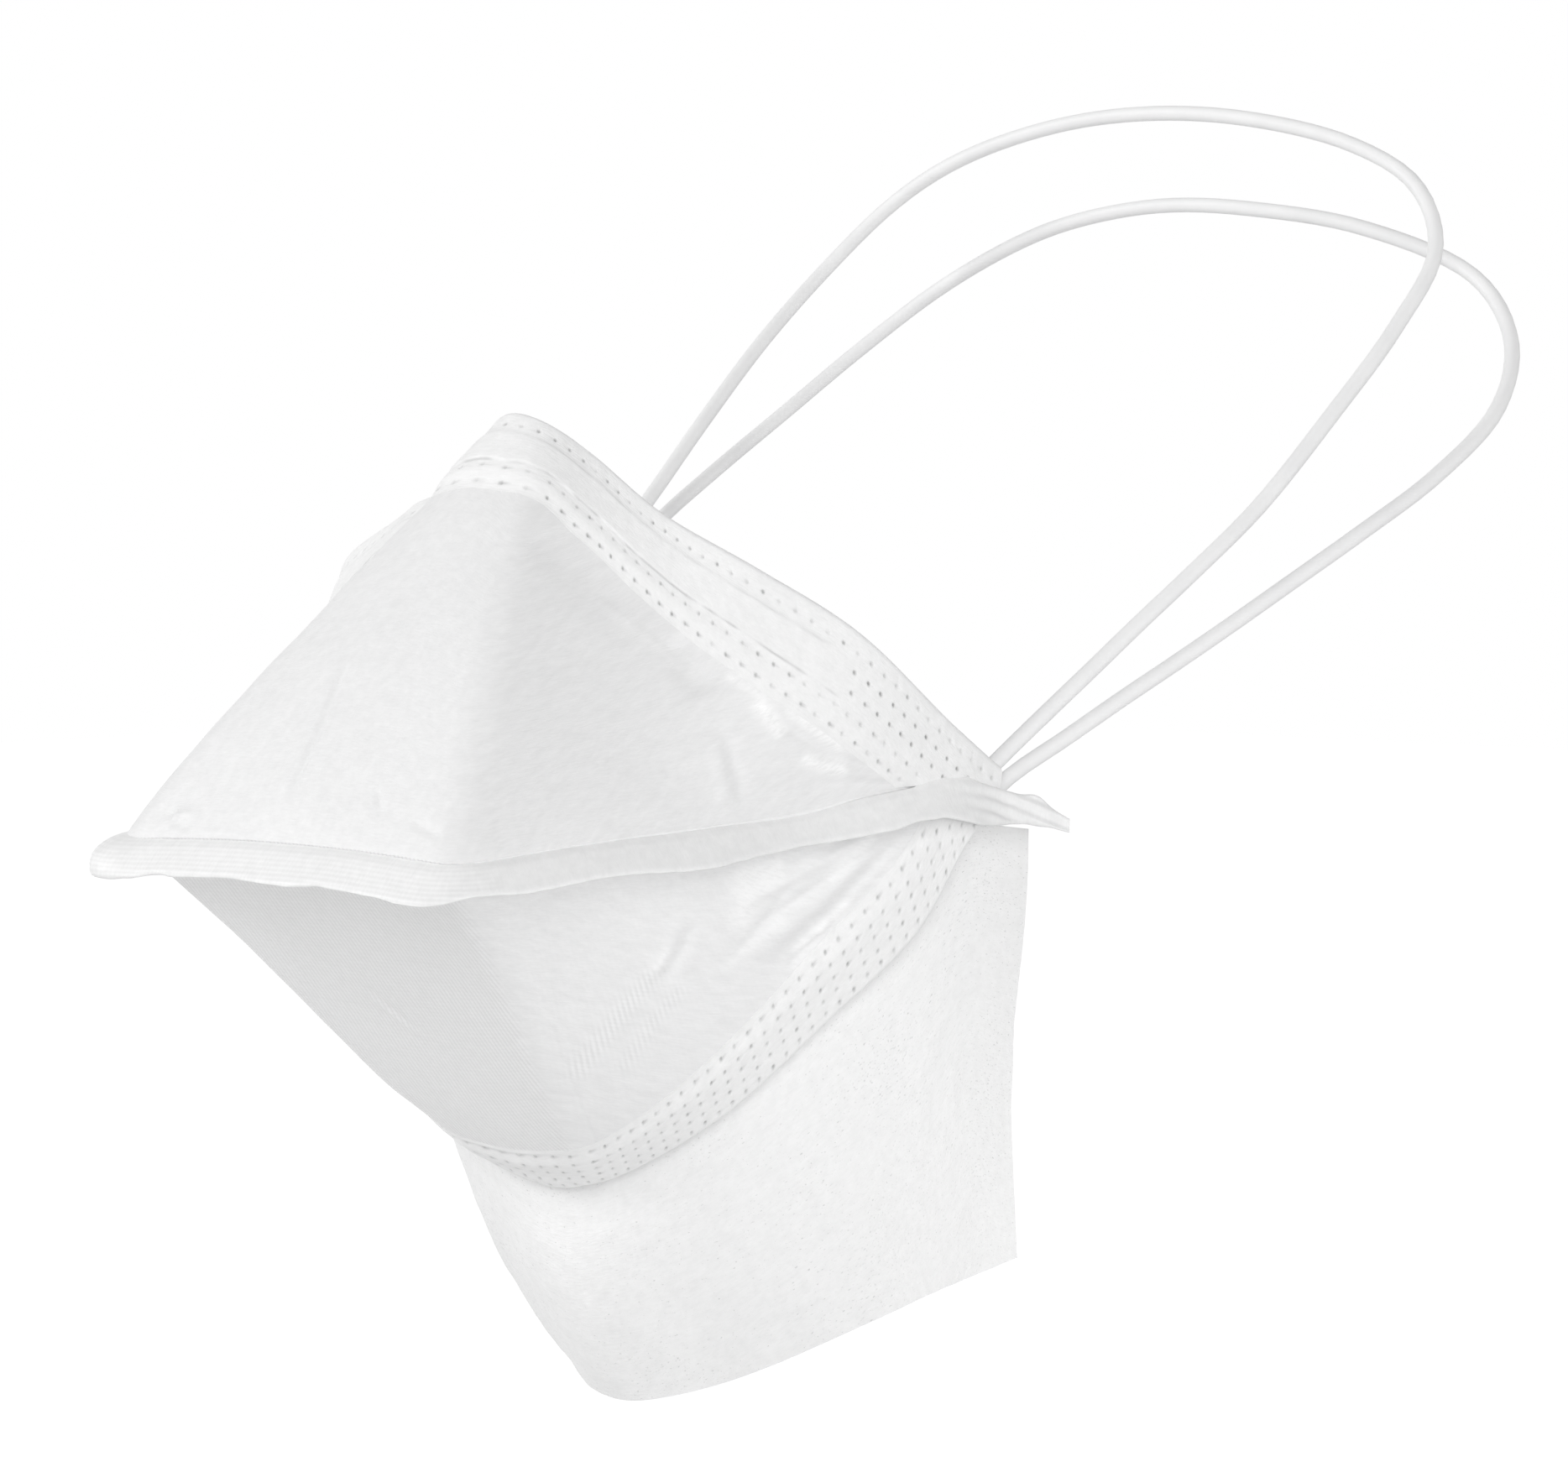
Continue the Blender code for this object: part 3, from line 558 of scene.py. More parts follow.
def add_mesh(name, points, faces, look, fields):
    mesh = bpy.data.meshes.new(name)
    faces = np.asarray(faces, np.int32)
    mesh.vertices.add(len(points))
    mesh.vertices.foreach_set("co", np.asarray(points, np.float32).ravel())
    mesh.loops.add(faces.size)
    mesh.loops.foreach_set("vertex_index", faces.ravel())
    mesh.polygons.add(len(faces))
    mesh.polygons.foreach_set("loop_start", np.arange(len(faces), dtype=np.int32) * 4)
    mesh.update(calc_edges=True)
    for label, values in fields.items():
        values = np.asarray(values, np.float32)
        kind = "FLOAT_VECTOR" if values.ndim == 2 else "FLOAT"
        field = mesh.attributes.new(label, kind, "POINT")
        field.data.foreach_set("vector" if values.ndim == 2 else "value", values.ravel())
    mesh.validate()
    mesh.shade_smooth()
    mesh.set_sharp_from_angle(angle=SHARP_ANGLE)
    mesh.materials.append(look)
    thing = bpy.data.objects.new(name, mesh)
    bpy.context.collection.objects.link(thing)
    return thing


def sheet_mesh(name, outer, inner, look, fields):
    """One closed sheet between two grids of points; fields are given for one grid."""
    rows, cols = outer.shape[:2]
    points = np.concatenate((outer.reshape(-1, 3), inner.reshape(-1, 3)))
    under = rows * cols
    index = np.arange(under).reshape(rows, cols)
    top = np.stack((index[:-1, :-1], index[1:, :-1], index[1:, 1:], index[:-1, 1:]), -1)
    top = top.reshape(-1, 4)
    rim = np.concatenate((
        np.stack((index[:-1, 0], index[1:, 0]), -1),
        np.stack((index[-1, :-1], index[-1, 1:]), -1),
        np.stack((index[1:, -1], index[:-1, -1]), -1)[::-1],
        np.stack((index[0, 1:], index[0, :-1]), -1)[::-1]))
    rim = np.stack((rim[:, 1], rim[:, 0], under + rim[:, 0], under + rim[:, 1]), -1)
    faces = np.concatenate((top, under + top[:, ::-1], rim))
    corners = points[faces[:, (0, 1, 2, 0, 2, 3)]].reshape(-1, 3, 3)
    volume = np.einsum("ij,ij->i", corners[:, 0], np.cross(corners[:, 1], corners[:, 2])).sum()
    if volume < 0:
        faces = faces[:, ::-1]
    doubled = {}
    for label, values in fields.items():
        flat = values.reshape((-1, 3)) if values.ndim == 3 else values.reshape(-1)
        doubled[label] = np.concatenate((flat, flat))
    return add_mesh(name, points, faces, look, doubled)


def place(thing, body, slot, *nodes):
    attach(thing, body)
    if nodes:
        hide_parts(*nodes)


def cloth_field(panel, u, from_edge):
    """Place on the flat cloth: along it and up from the seam."""
    height = panel.height(u)
    v = 1 - from_edge / height
    return np.stack((panel.along(u, v), v * height, np.zeros(u.shape)), -1)


# --- Layers of the pouch ---------------------------------------------------------
# Width and height in mm, then the (u, v) places that the crease runs through.
UPPER_CREASES = (
    (0.8, -0.34, (-0.05, 0.417), (-0.036, 0.32), (-0.022, 0.238), (-0.014, 0.14),
     (-0.011, 0.055)),
    (1.5, 0.20, (-0.065, 0.43), (-0.047, 0.30), (-0.030, 0.20), (-0.024, 0.06)),
    (0.6, -0.28, (0.128, 0.135), (0.142, 0.10), (0.154, 0.070)),
    (0.6, -0.26, (0.200, 0.075), (0.23, 0.060), (0.27, 0.045)),
    (0.7, -0.24, (-0.222, 0.055), (-0.19, 0.033), (-0.147, 0.015)),
    (0.6, 0.24, (-0.215, 0.030), (-0.19, 0.050), (-0.165, 0.052)),
    (0.5, 0.22, (-0.205, 0.070), (-0.196, 0.044), (-0.20, 0.015)),
    (0.6, 0.16, (-0.15, 0.012), (-0.026, 0.006)),
    (1.4, -0.36, (0.612, 0.350), (0.626, 0.25), (0.638, 0.15), (0.643, 0.05)),
    (1.6, 0.34, (0.594, 0.350), (0.606, 0.25), (0.618, 0.15), (0.624, 0.05)),
    (3.0, -1.00, (0.53, 0.642), (0.56, 0.55), (0.593, 0.46)),
    (2.0, 0.50, (0.60, 0.66), (0.67, 0.52), (0.74, 0.38), (0.83, 0.15)),
    (1.3, -0.50, (0.655, 0.46), (0.735, 0.33), (0.84, 0.12)),
    (1.0, 0.38, (0.69, 0.30), (0.77, 0.22), (0.85, 0.08)),
    (1.1, -0.38, (0.70, 0.17), (0.80, 0.10), (0.86, 0.05)),
    (4.5, -0.80, (0.30, 0.76), (0.36, 0.72), (0.46, 0.62)),
    (0.9, 0.14, (0.40, 0.66), (0.50, 0.60), (0.58, 0.52)),
)
LOWER_CREASES = (
    (0.9, -0.18, (-0.070, 0.39), (-0.049, 0.425), (-0.030, 0.47), (-0.011, 0.512)),
    (0.8, 0.14, (-0.078, 0.42), (-0.05, 0.47), (-0.02, 0.53)),
    (0.9, -0.34, (0.703, 0.618), (0.676, 0.638), (0.64, 0.67)),
    (0.8, 0.34, (0.72, 0.58), (0.69, 0.60), (0.655, 0.63)),
    (3.0, -0.80, (0.86, 0.30), (0.80, 0.42), (0.724, 0.56), (0.598, 0.652)),
    (1.9, 0.60, (0.84, 0.22), (0.77, 0.36), (0.70, 0.47), (0.60, 0.53)),
    (1.1, 0.36, (0.470, 0.47), (0.485, 0.43), (0.514, 0.37), (0.53, 0.30)),
    (1.2, -0.40, (0.487, 0.49), (0.50, 0.46), (0.535, 0.38), (0.555, 0.30)),
    (1.1, -0.22, (0.57, 0.52), (0.64, 0.42), (0.69, 0.30)),
    (1.0, 0.34, (0.90, 0.14), (0.80, 0.24), (0.68, 0.30), (0.58, 0.33)),
    (0.9, -0.34, (0.89, 0.22), (0.79, 0.33), (0.68, 0.40), (0.60, 0.44)),
    (0.9, 0.32, (0.88, 0.33), (0.80, 0.46), (0.74, 0.55), (0.66, 0.62)),
    (0.8, -0.26, (0.87, 0.12), (0.77, 0.20), (0.66, 0.24)),
)
# Half width in mm and strength, then the (u, v) places of a glossy patch, its colour painted
# whiter: a painted highlight.
UPPER_SHINE = (
    (1.5, 0.9, (0.640, 0.50), (0.672, 0.40), (0.684, 0.35)),
    (1.3, 0.8, (0.675, 0.50), (0.735, 0.39), (0.765, 0.33)),
    (1.3, 0.9, (0.705, 0.28), (0.74, 0.24), (0.775, 0.20)),
    (0.8, 0.6, (0.60, 0.56), (0.66, 0.49)),
)
LOWER_SHINE = (
    (3.2, 0.75, (0.60, 0.30), (0.64, 0.24), (0.685, 0.22)),
    (2.2, 0.8, (0.63, 0.16), (0.62, 0.30), (0.60, 0.42)),
    (1.0, 0.8, (0.655, 0.63), (0.70, 0.595), (0.75, 0.54)),
    (1.2, 0.7, (0.485, 0.43), (0.514, 0.37)),
    (1.8, 0.5, (0.72, 0.41), (0.77, 0.30), (0.80, 0.22)),
    (1.0, 0.5, (0.56, 0.52), (0.62, 0.48), (0.67, 0.44)),
)
# The same, for the patches on the sides where the embossed ribs show.
RIBBED_PATCHES = (
    (1.7, 0.65, (0.335, 0.652), (0.356, 0.613), (0.429, 0.512), (0.498, 0.413)),
    (1.3, 0.45, (0.40, 0.68), (0.46, 0.58), (0.52, 0.50)),
)
RIB_SLANT = 0.6                # on the sides, how far the ribs lean forward for their height


def rib_distance(points, u):
    """Distance across the embossed ribs, which run up and down the front and the sides."""
    corner = np.array((FRONT_HALF_WIDTH, -FRONT_REACH))
    run = unit(np.array((WING_HALF_SPAN, 0.0)) - corner)
    x = np.abs(points[..., 0])
    beside = FRONT_HALF_WIDTH + (x - corner[0]) * run[0] + (points[..., 1] - corner[1]) * run[1]
    beside = beside - RIB_SLANT * np.abs(points[..., 2])
    return np.sign(u) * np.where(np.abs(u) < 0.3, x, beside)


def panel_grid(panel, upper_limit, setback, spare, across, down):
    last = panel.last_column(upper_limit + setback + spare)
    reach = panel.seam_distance(last)
    distance = np.linspace(-reach, reach, across)
    u = np.sign(distance) * np.interp(np.abs(distance), panel.seam_knots, panel.knots)
    u = u[:, None]
    from_edge = upper_limit + (panel.height(u) - setback - upper_limit) * np.linspace(0, 1, down)
    return np.broadcast_to(u, from_edge.shape), from_edge


def cloth_move(panel, band, creases, seed):
    """How far the cloth has moved outward: uneven where free, flat where its band holds it."""
    def move(points, u, from_edge):
        free = (smooth_step(0, 6 * MM, panel.height(u) - from_edge)
                * smooth_step(band - 2 * MM, band + 9 * MM, from_edge))
        lumps = (0.40 * noise(points, 26 * MM, seed) + 0.20 * noise(points, 12 * MM, seed + 1)
                 + 0.07 * noise(points, 5 * MM, seed + 2)) * MM * (0.25 + 0.75 * free)
        held = smooth_step(band - 5.5 * MM, band - 0.5 * MM, from_edge)
        return (lumps + panel_creases(panel, points, creases)) * held
    return move


def ply(name, node, panel, border, depth, thickness, look, slot, across, down, move,
        shines=(), setback=0.0, rise=0.0):
    """One layer of a panel, from its border near the edge to its setback from the seam; it
    comes up by its rise at both, where the layers are pressed together."""
    u, from_edge = panel_grid(panel, border, setback, 1.2 * MM, across, down)
    points = panel.layer(u, from_edge, np.zeros(u.shape))
    to_seam = panel.height(u) - from_edge
    free = (smooth_step(border + 2 * MM, border + 8 * MM, from_edge)
            * smooth_step(0.8 * MM, 6 * MM, to_seam))
    moved = move(points, u, from_edge) + rise * (1 - free)
    outer = panel.layer(u, from_edge, moved - depth)
    inner = panel.layer(u, from_edge, moved - depth - thickness)
    fields = {"cloth": cloth_field(panel, u, from_edge)}
    if shines:
        # The shine field marks the glossy patches whose colour is painted whiter, a painted
        # highlight.
        fields["shine"] = panel_marks(panel, points, shines)
        faces_front = 1 - smooth_step(0.25, 0.285, np.abs(u))
        fields["rib"] = rib_distance(points, u)
        fields["ribbed"] = 0.04 + 0.96 * np.maximum(faces_front, np.minimum(
            1, panel_marks(panel, points, RIBBED_PATCHES)))
    place(sheet_mesh(name, outer, inner, look, fields), "mask", slot, node)


# --- Folded edge bands -----------------------------------------------------------
DOT_PITCH = 3.05 * MM
DOT_RADIUS = 0.34 * MM
ROW_SPACING = 0.45 * MM
CLUSTER = (-0.50, -0.25, 0.0, 0.25, 0.50)
BAND_FACE = 0.95 * MM          # the folded band's faces, out from the pouch's surface
BAND_BACK = -1.35 * MM
BORDER_FACE = 0.05 * MM        # where its free border is bonded down into the cover
BORDER_PLY = 0.22 * MM
BORDER_SQUEEZE = 1.2 * MM      # where the seam cuts the band, its rows end within this
BAND_LEAST_HEIGHT = 4.2 * MM   # a band ends at the wings where its panel is this high
FOLD_COLUMNS = 11              # points round the fold
LINE_CLUSTER = (-0.60, -0.35, -0.15, 0.0, 0.15, 0.35, 0.60)
CHANNEL_RISE = 0.26            # how far the cloth stands up between the pressed lines, mm
DOT_EDGE = 3.5                 # how steep a dot's sides are
WELDED_FOLD = 3 * MM           # the fold's inner faces meet over this length at its ends


def dotted_band(name, node, panel, width, rows_at, look, rng, kept, swell, channel=None,
                darker=None, wrinkled=None):
    """A cloth band folded over an opening edge, with rows of melted bond dots in it.

    rows_at and channel are shares of its width.  channel is two pressed lines and how far
    along they go, wrinkled the two ends of a wrinkled stretch.  kept and darker are asked
    for each dot by its row and its distance from the middle.
    """
    count = int(panel.edge.length / DOT_PITCH)
    dots = np.arange(-count, count + 1) * DOT_PITCH
    reach_s = panel.edge_distance(panel.last_column(BAND_LEAST_HEIGHT))
    lines = (dots[:, None] + np.array((*CLUSTER, DOT_PITCH / 2 / MM)) * MM).ravel()
    s = np.concatenate(([-reach_s], lines[np.abs(lines) < reach_s - 0.3 * MM], [reach_s]))
    u = (np.sign(s) * np.interp(np.abs(s), panel.edge_knots, panel.knots))[:, None]
    wide = width(np.abs(s))[:, None]
    reach = np.minimum(wide, panel.height(u) - 0.15 * MM)
    nominal = width(np.array([40 * MM]))[0]

    steps = [1.0, 0.985]
    for places, cluster in ((rows_at, CLUSTER), ((channel or ())[:2], LINE_CLUSTER)):
        steps += [place + k * MM / nominal for place in places for k in cluster]
    steps = sorted(set(np.round(steps, 4)), reverse=True)
    between = [a + (b - a) * k / (count + 1) for a, b in zip(steps[:-1], steps[1:])
               for count in [int((a - b) * nominal / ROW_SPACING)] for k in range(1, count + 1)]
    front = np.array(sorted([*steps, *between], reverse=True))
    front = front[front * nominal > 1.5 * MM]
    middle = (BAND_FACE + BAND_BACK) / 2
    bend = BAND_FACE - middle
    turn = np.linspace(0, math.pi, FOLD_COLUMNS)
    plain, flat_side = np.zeros(len(front)), np.ones(len(front))
    share = np.concatenate((front, np.zeros(FOLD_COLUMNS), front[::-1]))
    extra = np.concatenate((plain, bend * (1 - np.sin(turn)), plain))
    half = np.concatenate((flat_side, np.cos(turn), -flat_side))
    plain = wide * share
    cut = reach - BORDER_SQUEEZE
    squeezed = cut + (plain - cut) * BORDER_SQUEEZE / np.maximum(wide - cut, BORDER_SQUEEZE)
    from_edge = np.where((plain > cut) & (reach < wide), squeezed, plain) + extra
    u = np.broadcast_to(u, from_edge.shape)
    side = np.broadcast_to(s[:, None], from_edge.shape)
    points = panel.layer(u, from_edge, np.zeros(u.shape))
    # The band is thick at the fold and its free border lies down on the cover.
    down = smooth_step(-4.2 * MM, -0.1 * MM, from_edge - wide)
    face_height = BAND_FACE + (BORDER_FACE - BAND_FACE) * down
    back_height = np.full(u.shape, -BAND_BACK)
    lumps = (0.14 * noise(points, 14 * MM, 71) + 0.06 * noise(points, 5 * MM, 72)
             + 0.03 * noise(points, 2.2 * MM, 73)) * MM * (1 - 0.8 * down)
    lumps = lumps + down * swell(points, u, from_edge)
    front_side = half > 0
    if wrinkled:
        start, end = wrinkled
        there = smooth_step(start - 6 * MM, start + 4 * MM, side)
        there *= 1 - smooth_step(end - 8 * MM, end + 6 * MM, side)
        drawn = np.stack((side * 0.10, from_edge), -1)
        lumps = lumps + there * 0.22 * MM * noise(drawn, 1.7 * MM, 81) * front_side
        bead = np.exp(-((from_edge - wide + 0.7 * MM) / (0.45 * MM)) ** 2)
        lumps = lumps + there * 0.34 * MM * bead * front_side
    pit = np.zeros(u.shape)
    mark = np.zeros(u.shape)
    if channel:
        top, bottom, until = channel
        top, bottom = top * wide, bottom * wide
        raised = smooth_step(top - 0.8 * MM, top + 0.5 * MM, from_edge)
        raised *= 1 - smooth_step(bottom - 0.35 * MM, bottom + 0.35 * MM, from_edge)
        raised *= 1 - smooth_step(until - 6 * MM, until, np.abs(side))
        crumple = 0.05 * noise(points, 1.9 * MM, 76) + 0.04 * noise(points, 1.1 * MM, 77)
        face_height = face_height + (CHANNEL_RISE + crumple) * MM * raised
        flat = np.stack((side, from_edge * 0), -1)
        wander = 0.25 * MM * noise(flat, 7 * MM, 78)
        line = np.exp(-((from_edge - bottom - wander) / (0.20 * MM)) ** 2)
        line *= 1 - smooth_step(until - 3 * MM, until, np.abs(side))
        line *= np.clip(0.55 + 0.8 * noise(flat, 2.2 * MM, 75), 0.05, 1) * front_side
        faint = np.exp(-((from_edge - top) / (0.22 * MM)) ** 2) * front_side
        faint *= np.clip(0.35 + 0.6 * noise(flat, 4 * MM, 79), 0, 0.8)
        faint *= 1 - smooth_step(until - 3 * MM, until, np.abs(side))
        pit += 0.16 * MM * line + 0.07 * MM * faint
        mark = np.maximum(0.42 * line, 0.16 * faint)
    for j, row in enumerate(rows_at):
        for spot in dots:
            jitter = rng.random(6)
            if not kept(j, abs(spot)):
                continue
            centre_s = spot + (jitter[0] - 0.5) * 0.20 * MM + j * 0.05 * MM
            centre_d = row * np.interp(centre_s, s, wide[:, 0]) + (jitter[1] - 0.5) * 0.2 * MM
            if centre_d > np.interp(centre_s, s, reach[:, 0]) - 0.8 * MM:
                continue
            near = np.abs(s - centre_s) < 1.1 * MM
            gap = np.hypot(side[near] - centre_s, from_edge[near] - centre_d)
            dot = np.exp(-(gap / DOT_RADIUS) ** DOT_EDGE)
            pit[near] += dot * (0.16 + 0.18 * jitter[2]) * MM
            tone = 0.22 + 0.55 * jitter[3] ** 2
            if darker:
                tone = max(tone, darker(j, abs(spot)) * (0.75 + 0.25 * jitter[4]))
            mark[near] = np.maximum(mark[near], dot * tone * np.where(front_side, 1, 0.6))
    flat = np.abs(half) >= 1
    pit = np.where(flat, pit, 0)
    mark = np.where(flat, mark, 0)
    ply = np.where(front_side, BAND_PLY + (BORDER_PLY - BAND_PLY) * down, BAND_PLY)

    def offset(thin, spread=1.0):
        """Out from the surface, for a face of the band that lies this deep in its ply."""
        to_face = face_height - thin - middle
        to_back = back_height - thin + middle
        return middle + np.where(front_side, to_face, to_back) * half * spread + lumps

    # The fold is welded shut at the wings, so its inner faces meet there.
    open_fold = smooth_step(0, WELDED_FOLD, reach_s - np.abs(side))
    inside = from_edge + np.where(np.abs(half) < 1, BAND_PLY * np.sqrt(1 - np.clip(
        half, -1, 1) ** 2), 0)
    outer = panel.layer(u, from_edge, offset(0) - np.sign(half) * pit)
    inner = panel.layer(u, inside, offset(ply, open_fold) - np.sign(half) * pit * 0.3)
    field = np.stack((side, from_edge + 40 * MM * (half < 0), np.full(u.shape, 0.2)), -1)
    place(sheet_mesh(name, outer, inner, look, {"cloth": field, "dot": mark}),
          "mask", "edge_binding", node)


WIRE_HALF_LENGTH = 70 * MM
WIRE_HALF_WIDTH = 2.5 * MM
WIRE_HALF_THICKNESS = 0.30 * MM
WIRE_INSET = 8.7 * MM          # the wire's middle line, in from the band's fold
WIRE_LEVEL = -0.2 * MM         # and out from the pouch's surface
WIRE_END = 1.6 * MM            # length of its rounded ends


def wire_strip(panel, look):
    """The flat bendable strip inside the nose band, with rounded edges and ends."""
    s = np.linspace(-WIRE_HALF_LENGTH, WIRE_HALF_LENGTH, 281)
    u = (np.sign(s) * np.interp(np.abs(s), panel.edge_knots, panel.knots))[:, None]
    across = np.linspace(-1, 1, 11)
    left = np.clip((WIRE_HALF_LENGTH - np.abs(s)) / WIRE_END, 0, 1)[:, None]
    ends = np.sqrt(np.clip(1 - (1 - left) ** 2, 0.02, 1))
    from_edge = WIRE_INSET + WIRE_HALF_WIDTH * across * ends
    half = WIRE_HALF_THICKNESS * np.sqrt(np.clip(1 - np.abs(across) ** 6, 0.15, 1)) * ends
    u = np.broadcast_to(u, from_edge.shape)
    groove = 0.05 * MM * np.cos(across * 3 * math.pi)
    outer = panel.layer(u, from_edge, WIRE_LEVEL + half + groove * ends)
    inner = panel.layer(u, from_edge, WIRE_LEVEL - half)
    place(sheet_mesh("nose_wire_strip", outer, inner, look, {}), "mask", "aluminium", "nose_wire")


def nose_width(s):
    return np.interp(s, np.array((0, 6, 15, 60, 78, 91, 140)) * MM,
                     np.array((16.0, 16.8, 18.6, 19.0, 18.3, 16.6, 16.6)) * MM)


def chin_width(s):
    return np.interp(s, np.array((0, 30, 140)) * MM, np.array((12.6, 13.0, 12.8)) * MM)


def nose_kept(row, s):
    """The middle rows are there only past the end of the nose wire."""
    return row in (0, 3, 4) or s > 75 * MM


def nose_darker(row, s):
    """Some stretches of the rows are melted right through and look nearly black."""
    if row in (1, 2):
        return 1.0
    if row == 4:
        return 0.85 if 8 * MM < s < 42 * MM else 0.35
    if row == 0:
        return 0.9 if 5 * MM < s < 17 * MM else 0.3
    return 0.5 if 8 * MM < s < 60 * MM else 0.25


# --- Welded rim and wings --------------------------------------------------------
# Distance from the front seam's middle, then the rim's free edge and its upper border, in mm.
RIM_EDGE = ((-159, 2.0), (-150, 4.6), (-140, 6.8), (-128, 6.6), (-112, 7.0), (-95, 6.9),
            (-78, 7.6), (-60, 7.0), (-46, 6.9), (-40, 8.0), (-35.4, 8.4), (-26.8, 7.35),
            (-20.7, 7.65), (-7.6, 7.45), (0, 7.9), (7.6, 8.25), (15.1, 7.5), (22, 7.8),
            (28.8, 7.95), (36.2, 8.45), (38.8, 8.25), (40.7, 7.4), (42.5, 6.55), (46.3, 6.55),
            (51.8, 7.15), (57.8, 7.05), (63.9, 6.85), (70, 7.0), (83.9, 8.0), (95, 6.6),
            (102.6, 6.15), (108.5, 6.5), (113.8, 7.0), (120, 7.4), (123.7, 6.65),
            (130.1, 6.55), (137, 7.5), (141, 7.0), (145.7, 5.75), (150, 4.2), (155.4, 2.95),
            (158, 2.6), (159, 2.2))
RIM_TOP = ((-159, -0.2), (-150, -0.4), (-140, -0.9), (-132, -1.3), (-124, -0.3), (-58, 0.0),
           (-50, -0.8), (-43, -1.4), (-36, -0.8), (-28, -0.2), (120.7, 0.0), (126.7, -0.15),
           (129.4, -1.0), (133.4, -1.55), (137.5, -1.65), (140.4, -0.6), (145.5, -0.2),
           (149.9, -0.7), (152.5, -1.7), (154.2, -1.6), (155.2, -0.8), (157.2, -0.2), (159, 0.1))
RIM_STAND_OFF = 1.70 * MM      # how far the rim moves out past the bands
PLEAT_PITCH = 1.25 * MM        # from a pleat's ridge to its valley, on the wings
BLUNT_SPOT = -43 * MM          # the far front corner, along the seam
BLUNT_REACH = 8 * MM


def rim_frame(along):
    """Base line, downward and outward directions of the rim at signed seam distances."""
    step = 0.2 * MM
    far = np.minimum(np.abs(along), seam.length - step)
    run = unit(mirrored(seam.at(far + step), along) - mirrored(seam.at(far - step), along))
    run *= np.where(along < 0, -1.0, 1.0)[:, None]
    outward = unit(np.cross(run, (0.0, 0.0, 1.0)))
    # The seam line is coarse, so its directions are evened out along it.
    outward = unit(softened(outward, 15))
    to_wing = smooth_step(wing_root - DROOP_RAMP, wing_root, np.abs(along))
    on_wing = np.clip((np.abs(along) - wing_root) / WING_LENGTH, 0, 1)
    droop = FLANGE_DROOP + (WING_DROOP - FLANGE_DROOP) * to_wing
    past = smooth_step(wing_root - STAND_OFF_FROM, wing_root - STAND_OFF_TO, np.abs(along))
    stand_off = RIM_STAND_OFF * past * (1 - on_wing)
    down = outward * np.cos(droop)[:, None] - np.array((0, 0, 1)) * np.sin(droop)[:, None]
    face = unit(np.cross(down, run))
    base = mirrored(seam.at(np.abs(along)), along) + outward * stand_off[:, None]
    return base, down, face, to_wing, on_wing


def welded_rim(look):
    along = np.linspace(-seam.length, seam.length, 700)
    base, down, face, to_wing, on_wing = rim_frame(along)
    edge, top = (softened(np.interp(along, *np.array(line).T * MM), 9)
                 for line in (RIM_EDGE, RIM_TOP))
    line = np.stack((along, along * 0), -1)
    edge += 0.10 * MM * noise(line, 2.4 * MM, 31)
    share = np.concatenate((np.linspace(0, 0.94, 22), (0.975, 1.0)))
    w = top[:, None] + (edge - top)[:, None] * share
    spot = np.stack((np.broadcast_to(along[:, None], w.shape), w), -1)
    wave = (0.28 * noise(spot, 17 * MM, 32) + 0.16 * noise(spot, 6 * MM, 33)) * MM
    wave *= 0.3 + 0.7 * share
    pleat = np.sin(w / PLEAT_PITCH * math.pi + 1.2 * noise(spot, 9 * MM, 34))
    wave += 0.30 * MM * pleat * (smooth_step(0.2, 1.0, to_wing) * (1 - 0.3 * on_wing))[:, None]
    wave += 0.12 * MM * noise(spot * np.array((0.35, 1.0)), 1.3 * MM, 35) * to_wing[:, None]
    thick = (0.75 + 0.5 * to_wing * (1 - on_wing))[:, None] * MM
    rounded = np.sqrt(np.clip(1 - np.clip((share - 0.9) / 0.1, 0, 1) ** 2, 0.12, 1))
    rounded = rounded * np.sqrt(np.clip(1 - np.clip((0.06 - share) / 0.06, 0, 1) ** 2, 0.2, 1))
    lift = -0.20 * MM * (1 - to_wing)[:, None]
    lift = lift - 0.40 * MM * (1 - to_wing)[:, None] * (1 - smooth_step(0, 0.30, share))
    middle = base[:, None] + down[:, None] * w[..., None]
    # The far front corner is blunt: the rim stands out there before it turns down.
    blunt = np.exp(-((along - BLUNT_SPOT) / BLUNT_REACH) ** 2)[:, None]
    out_there = unit(down * (1, 1, 0))
    middle = middle + out_there[:, None] * (blunt * (2.3 * np.sin(np.pi * share)
                                                     + 0.8 * share) * MM)[..., None]
    middle[..., 2] += blunt * 0.4 * MM * np.sin(np.pi * share)
    centre = middle + face[:, None] * (wave + lift)[..., None]
    half = face[:, None] * (thick * rounded / 2)[..., None]
    field = np.stack((spot[..., 1], spot[..., 0], np.full(w.shape, 0.1)), -1)
    ribbed = np.broadcast_to((1 - smooth_step(40 * MM, 50 * MM, along))[:, None], w.shape)
    place(sheet_mesh("welded_rim", centre + half, centre - half, look,
                     {"cloth": field, "ribbed": ribbed * (0.5 + 0.5 * share),
                      "rib": spot[..., 1]}),
          "mask", "edge_binding", "edge_weld")


# --- Neck skirt ------------------------------------------------------------------
LAP_ROWS = 8                    # rows of the sheet behind the chin band
# Down the rear edge, from behind the band (-1) past its fold (0) to the hem (1): how far
# it leans back, in mm.
REAR_LEAN = ((-1, 0, 0.15, 0.4, 0.62, 1), (2.0, 1.9, 1.1, -1.5, -2.1, -0.5))


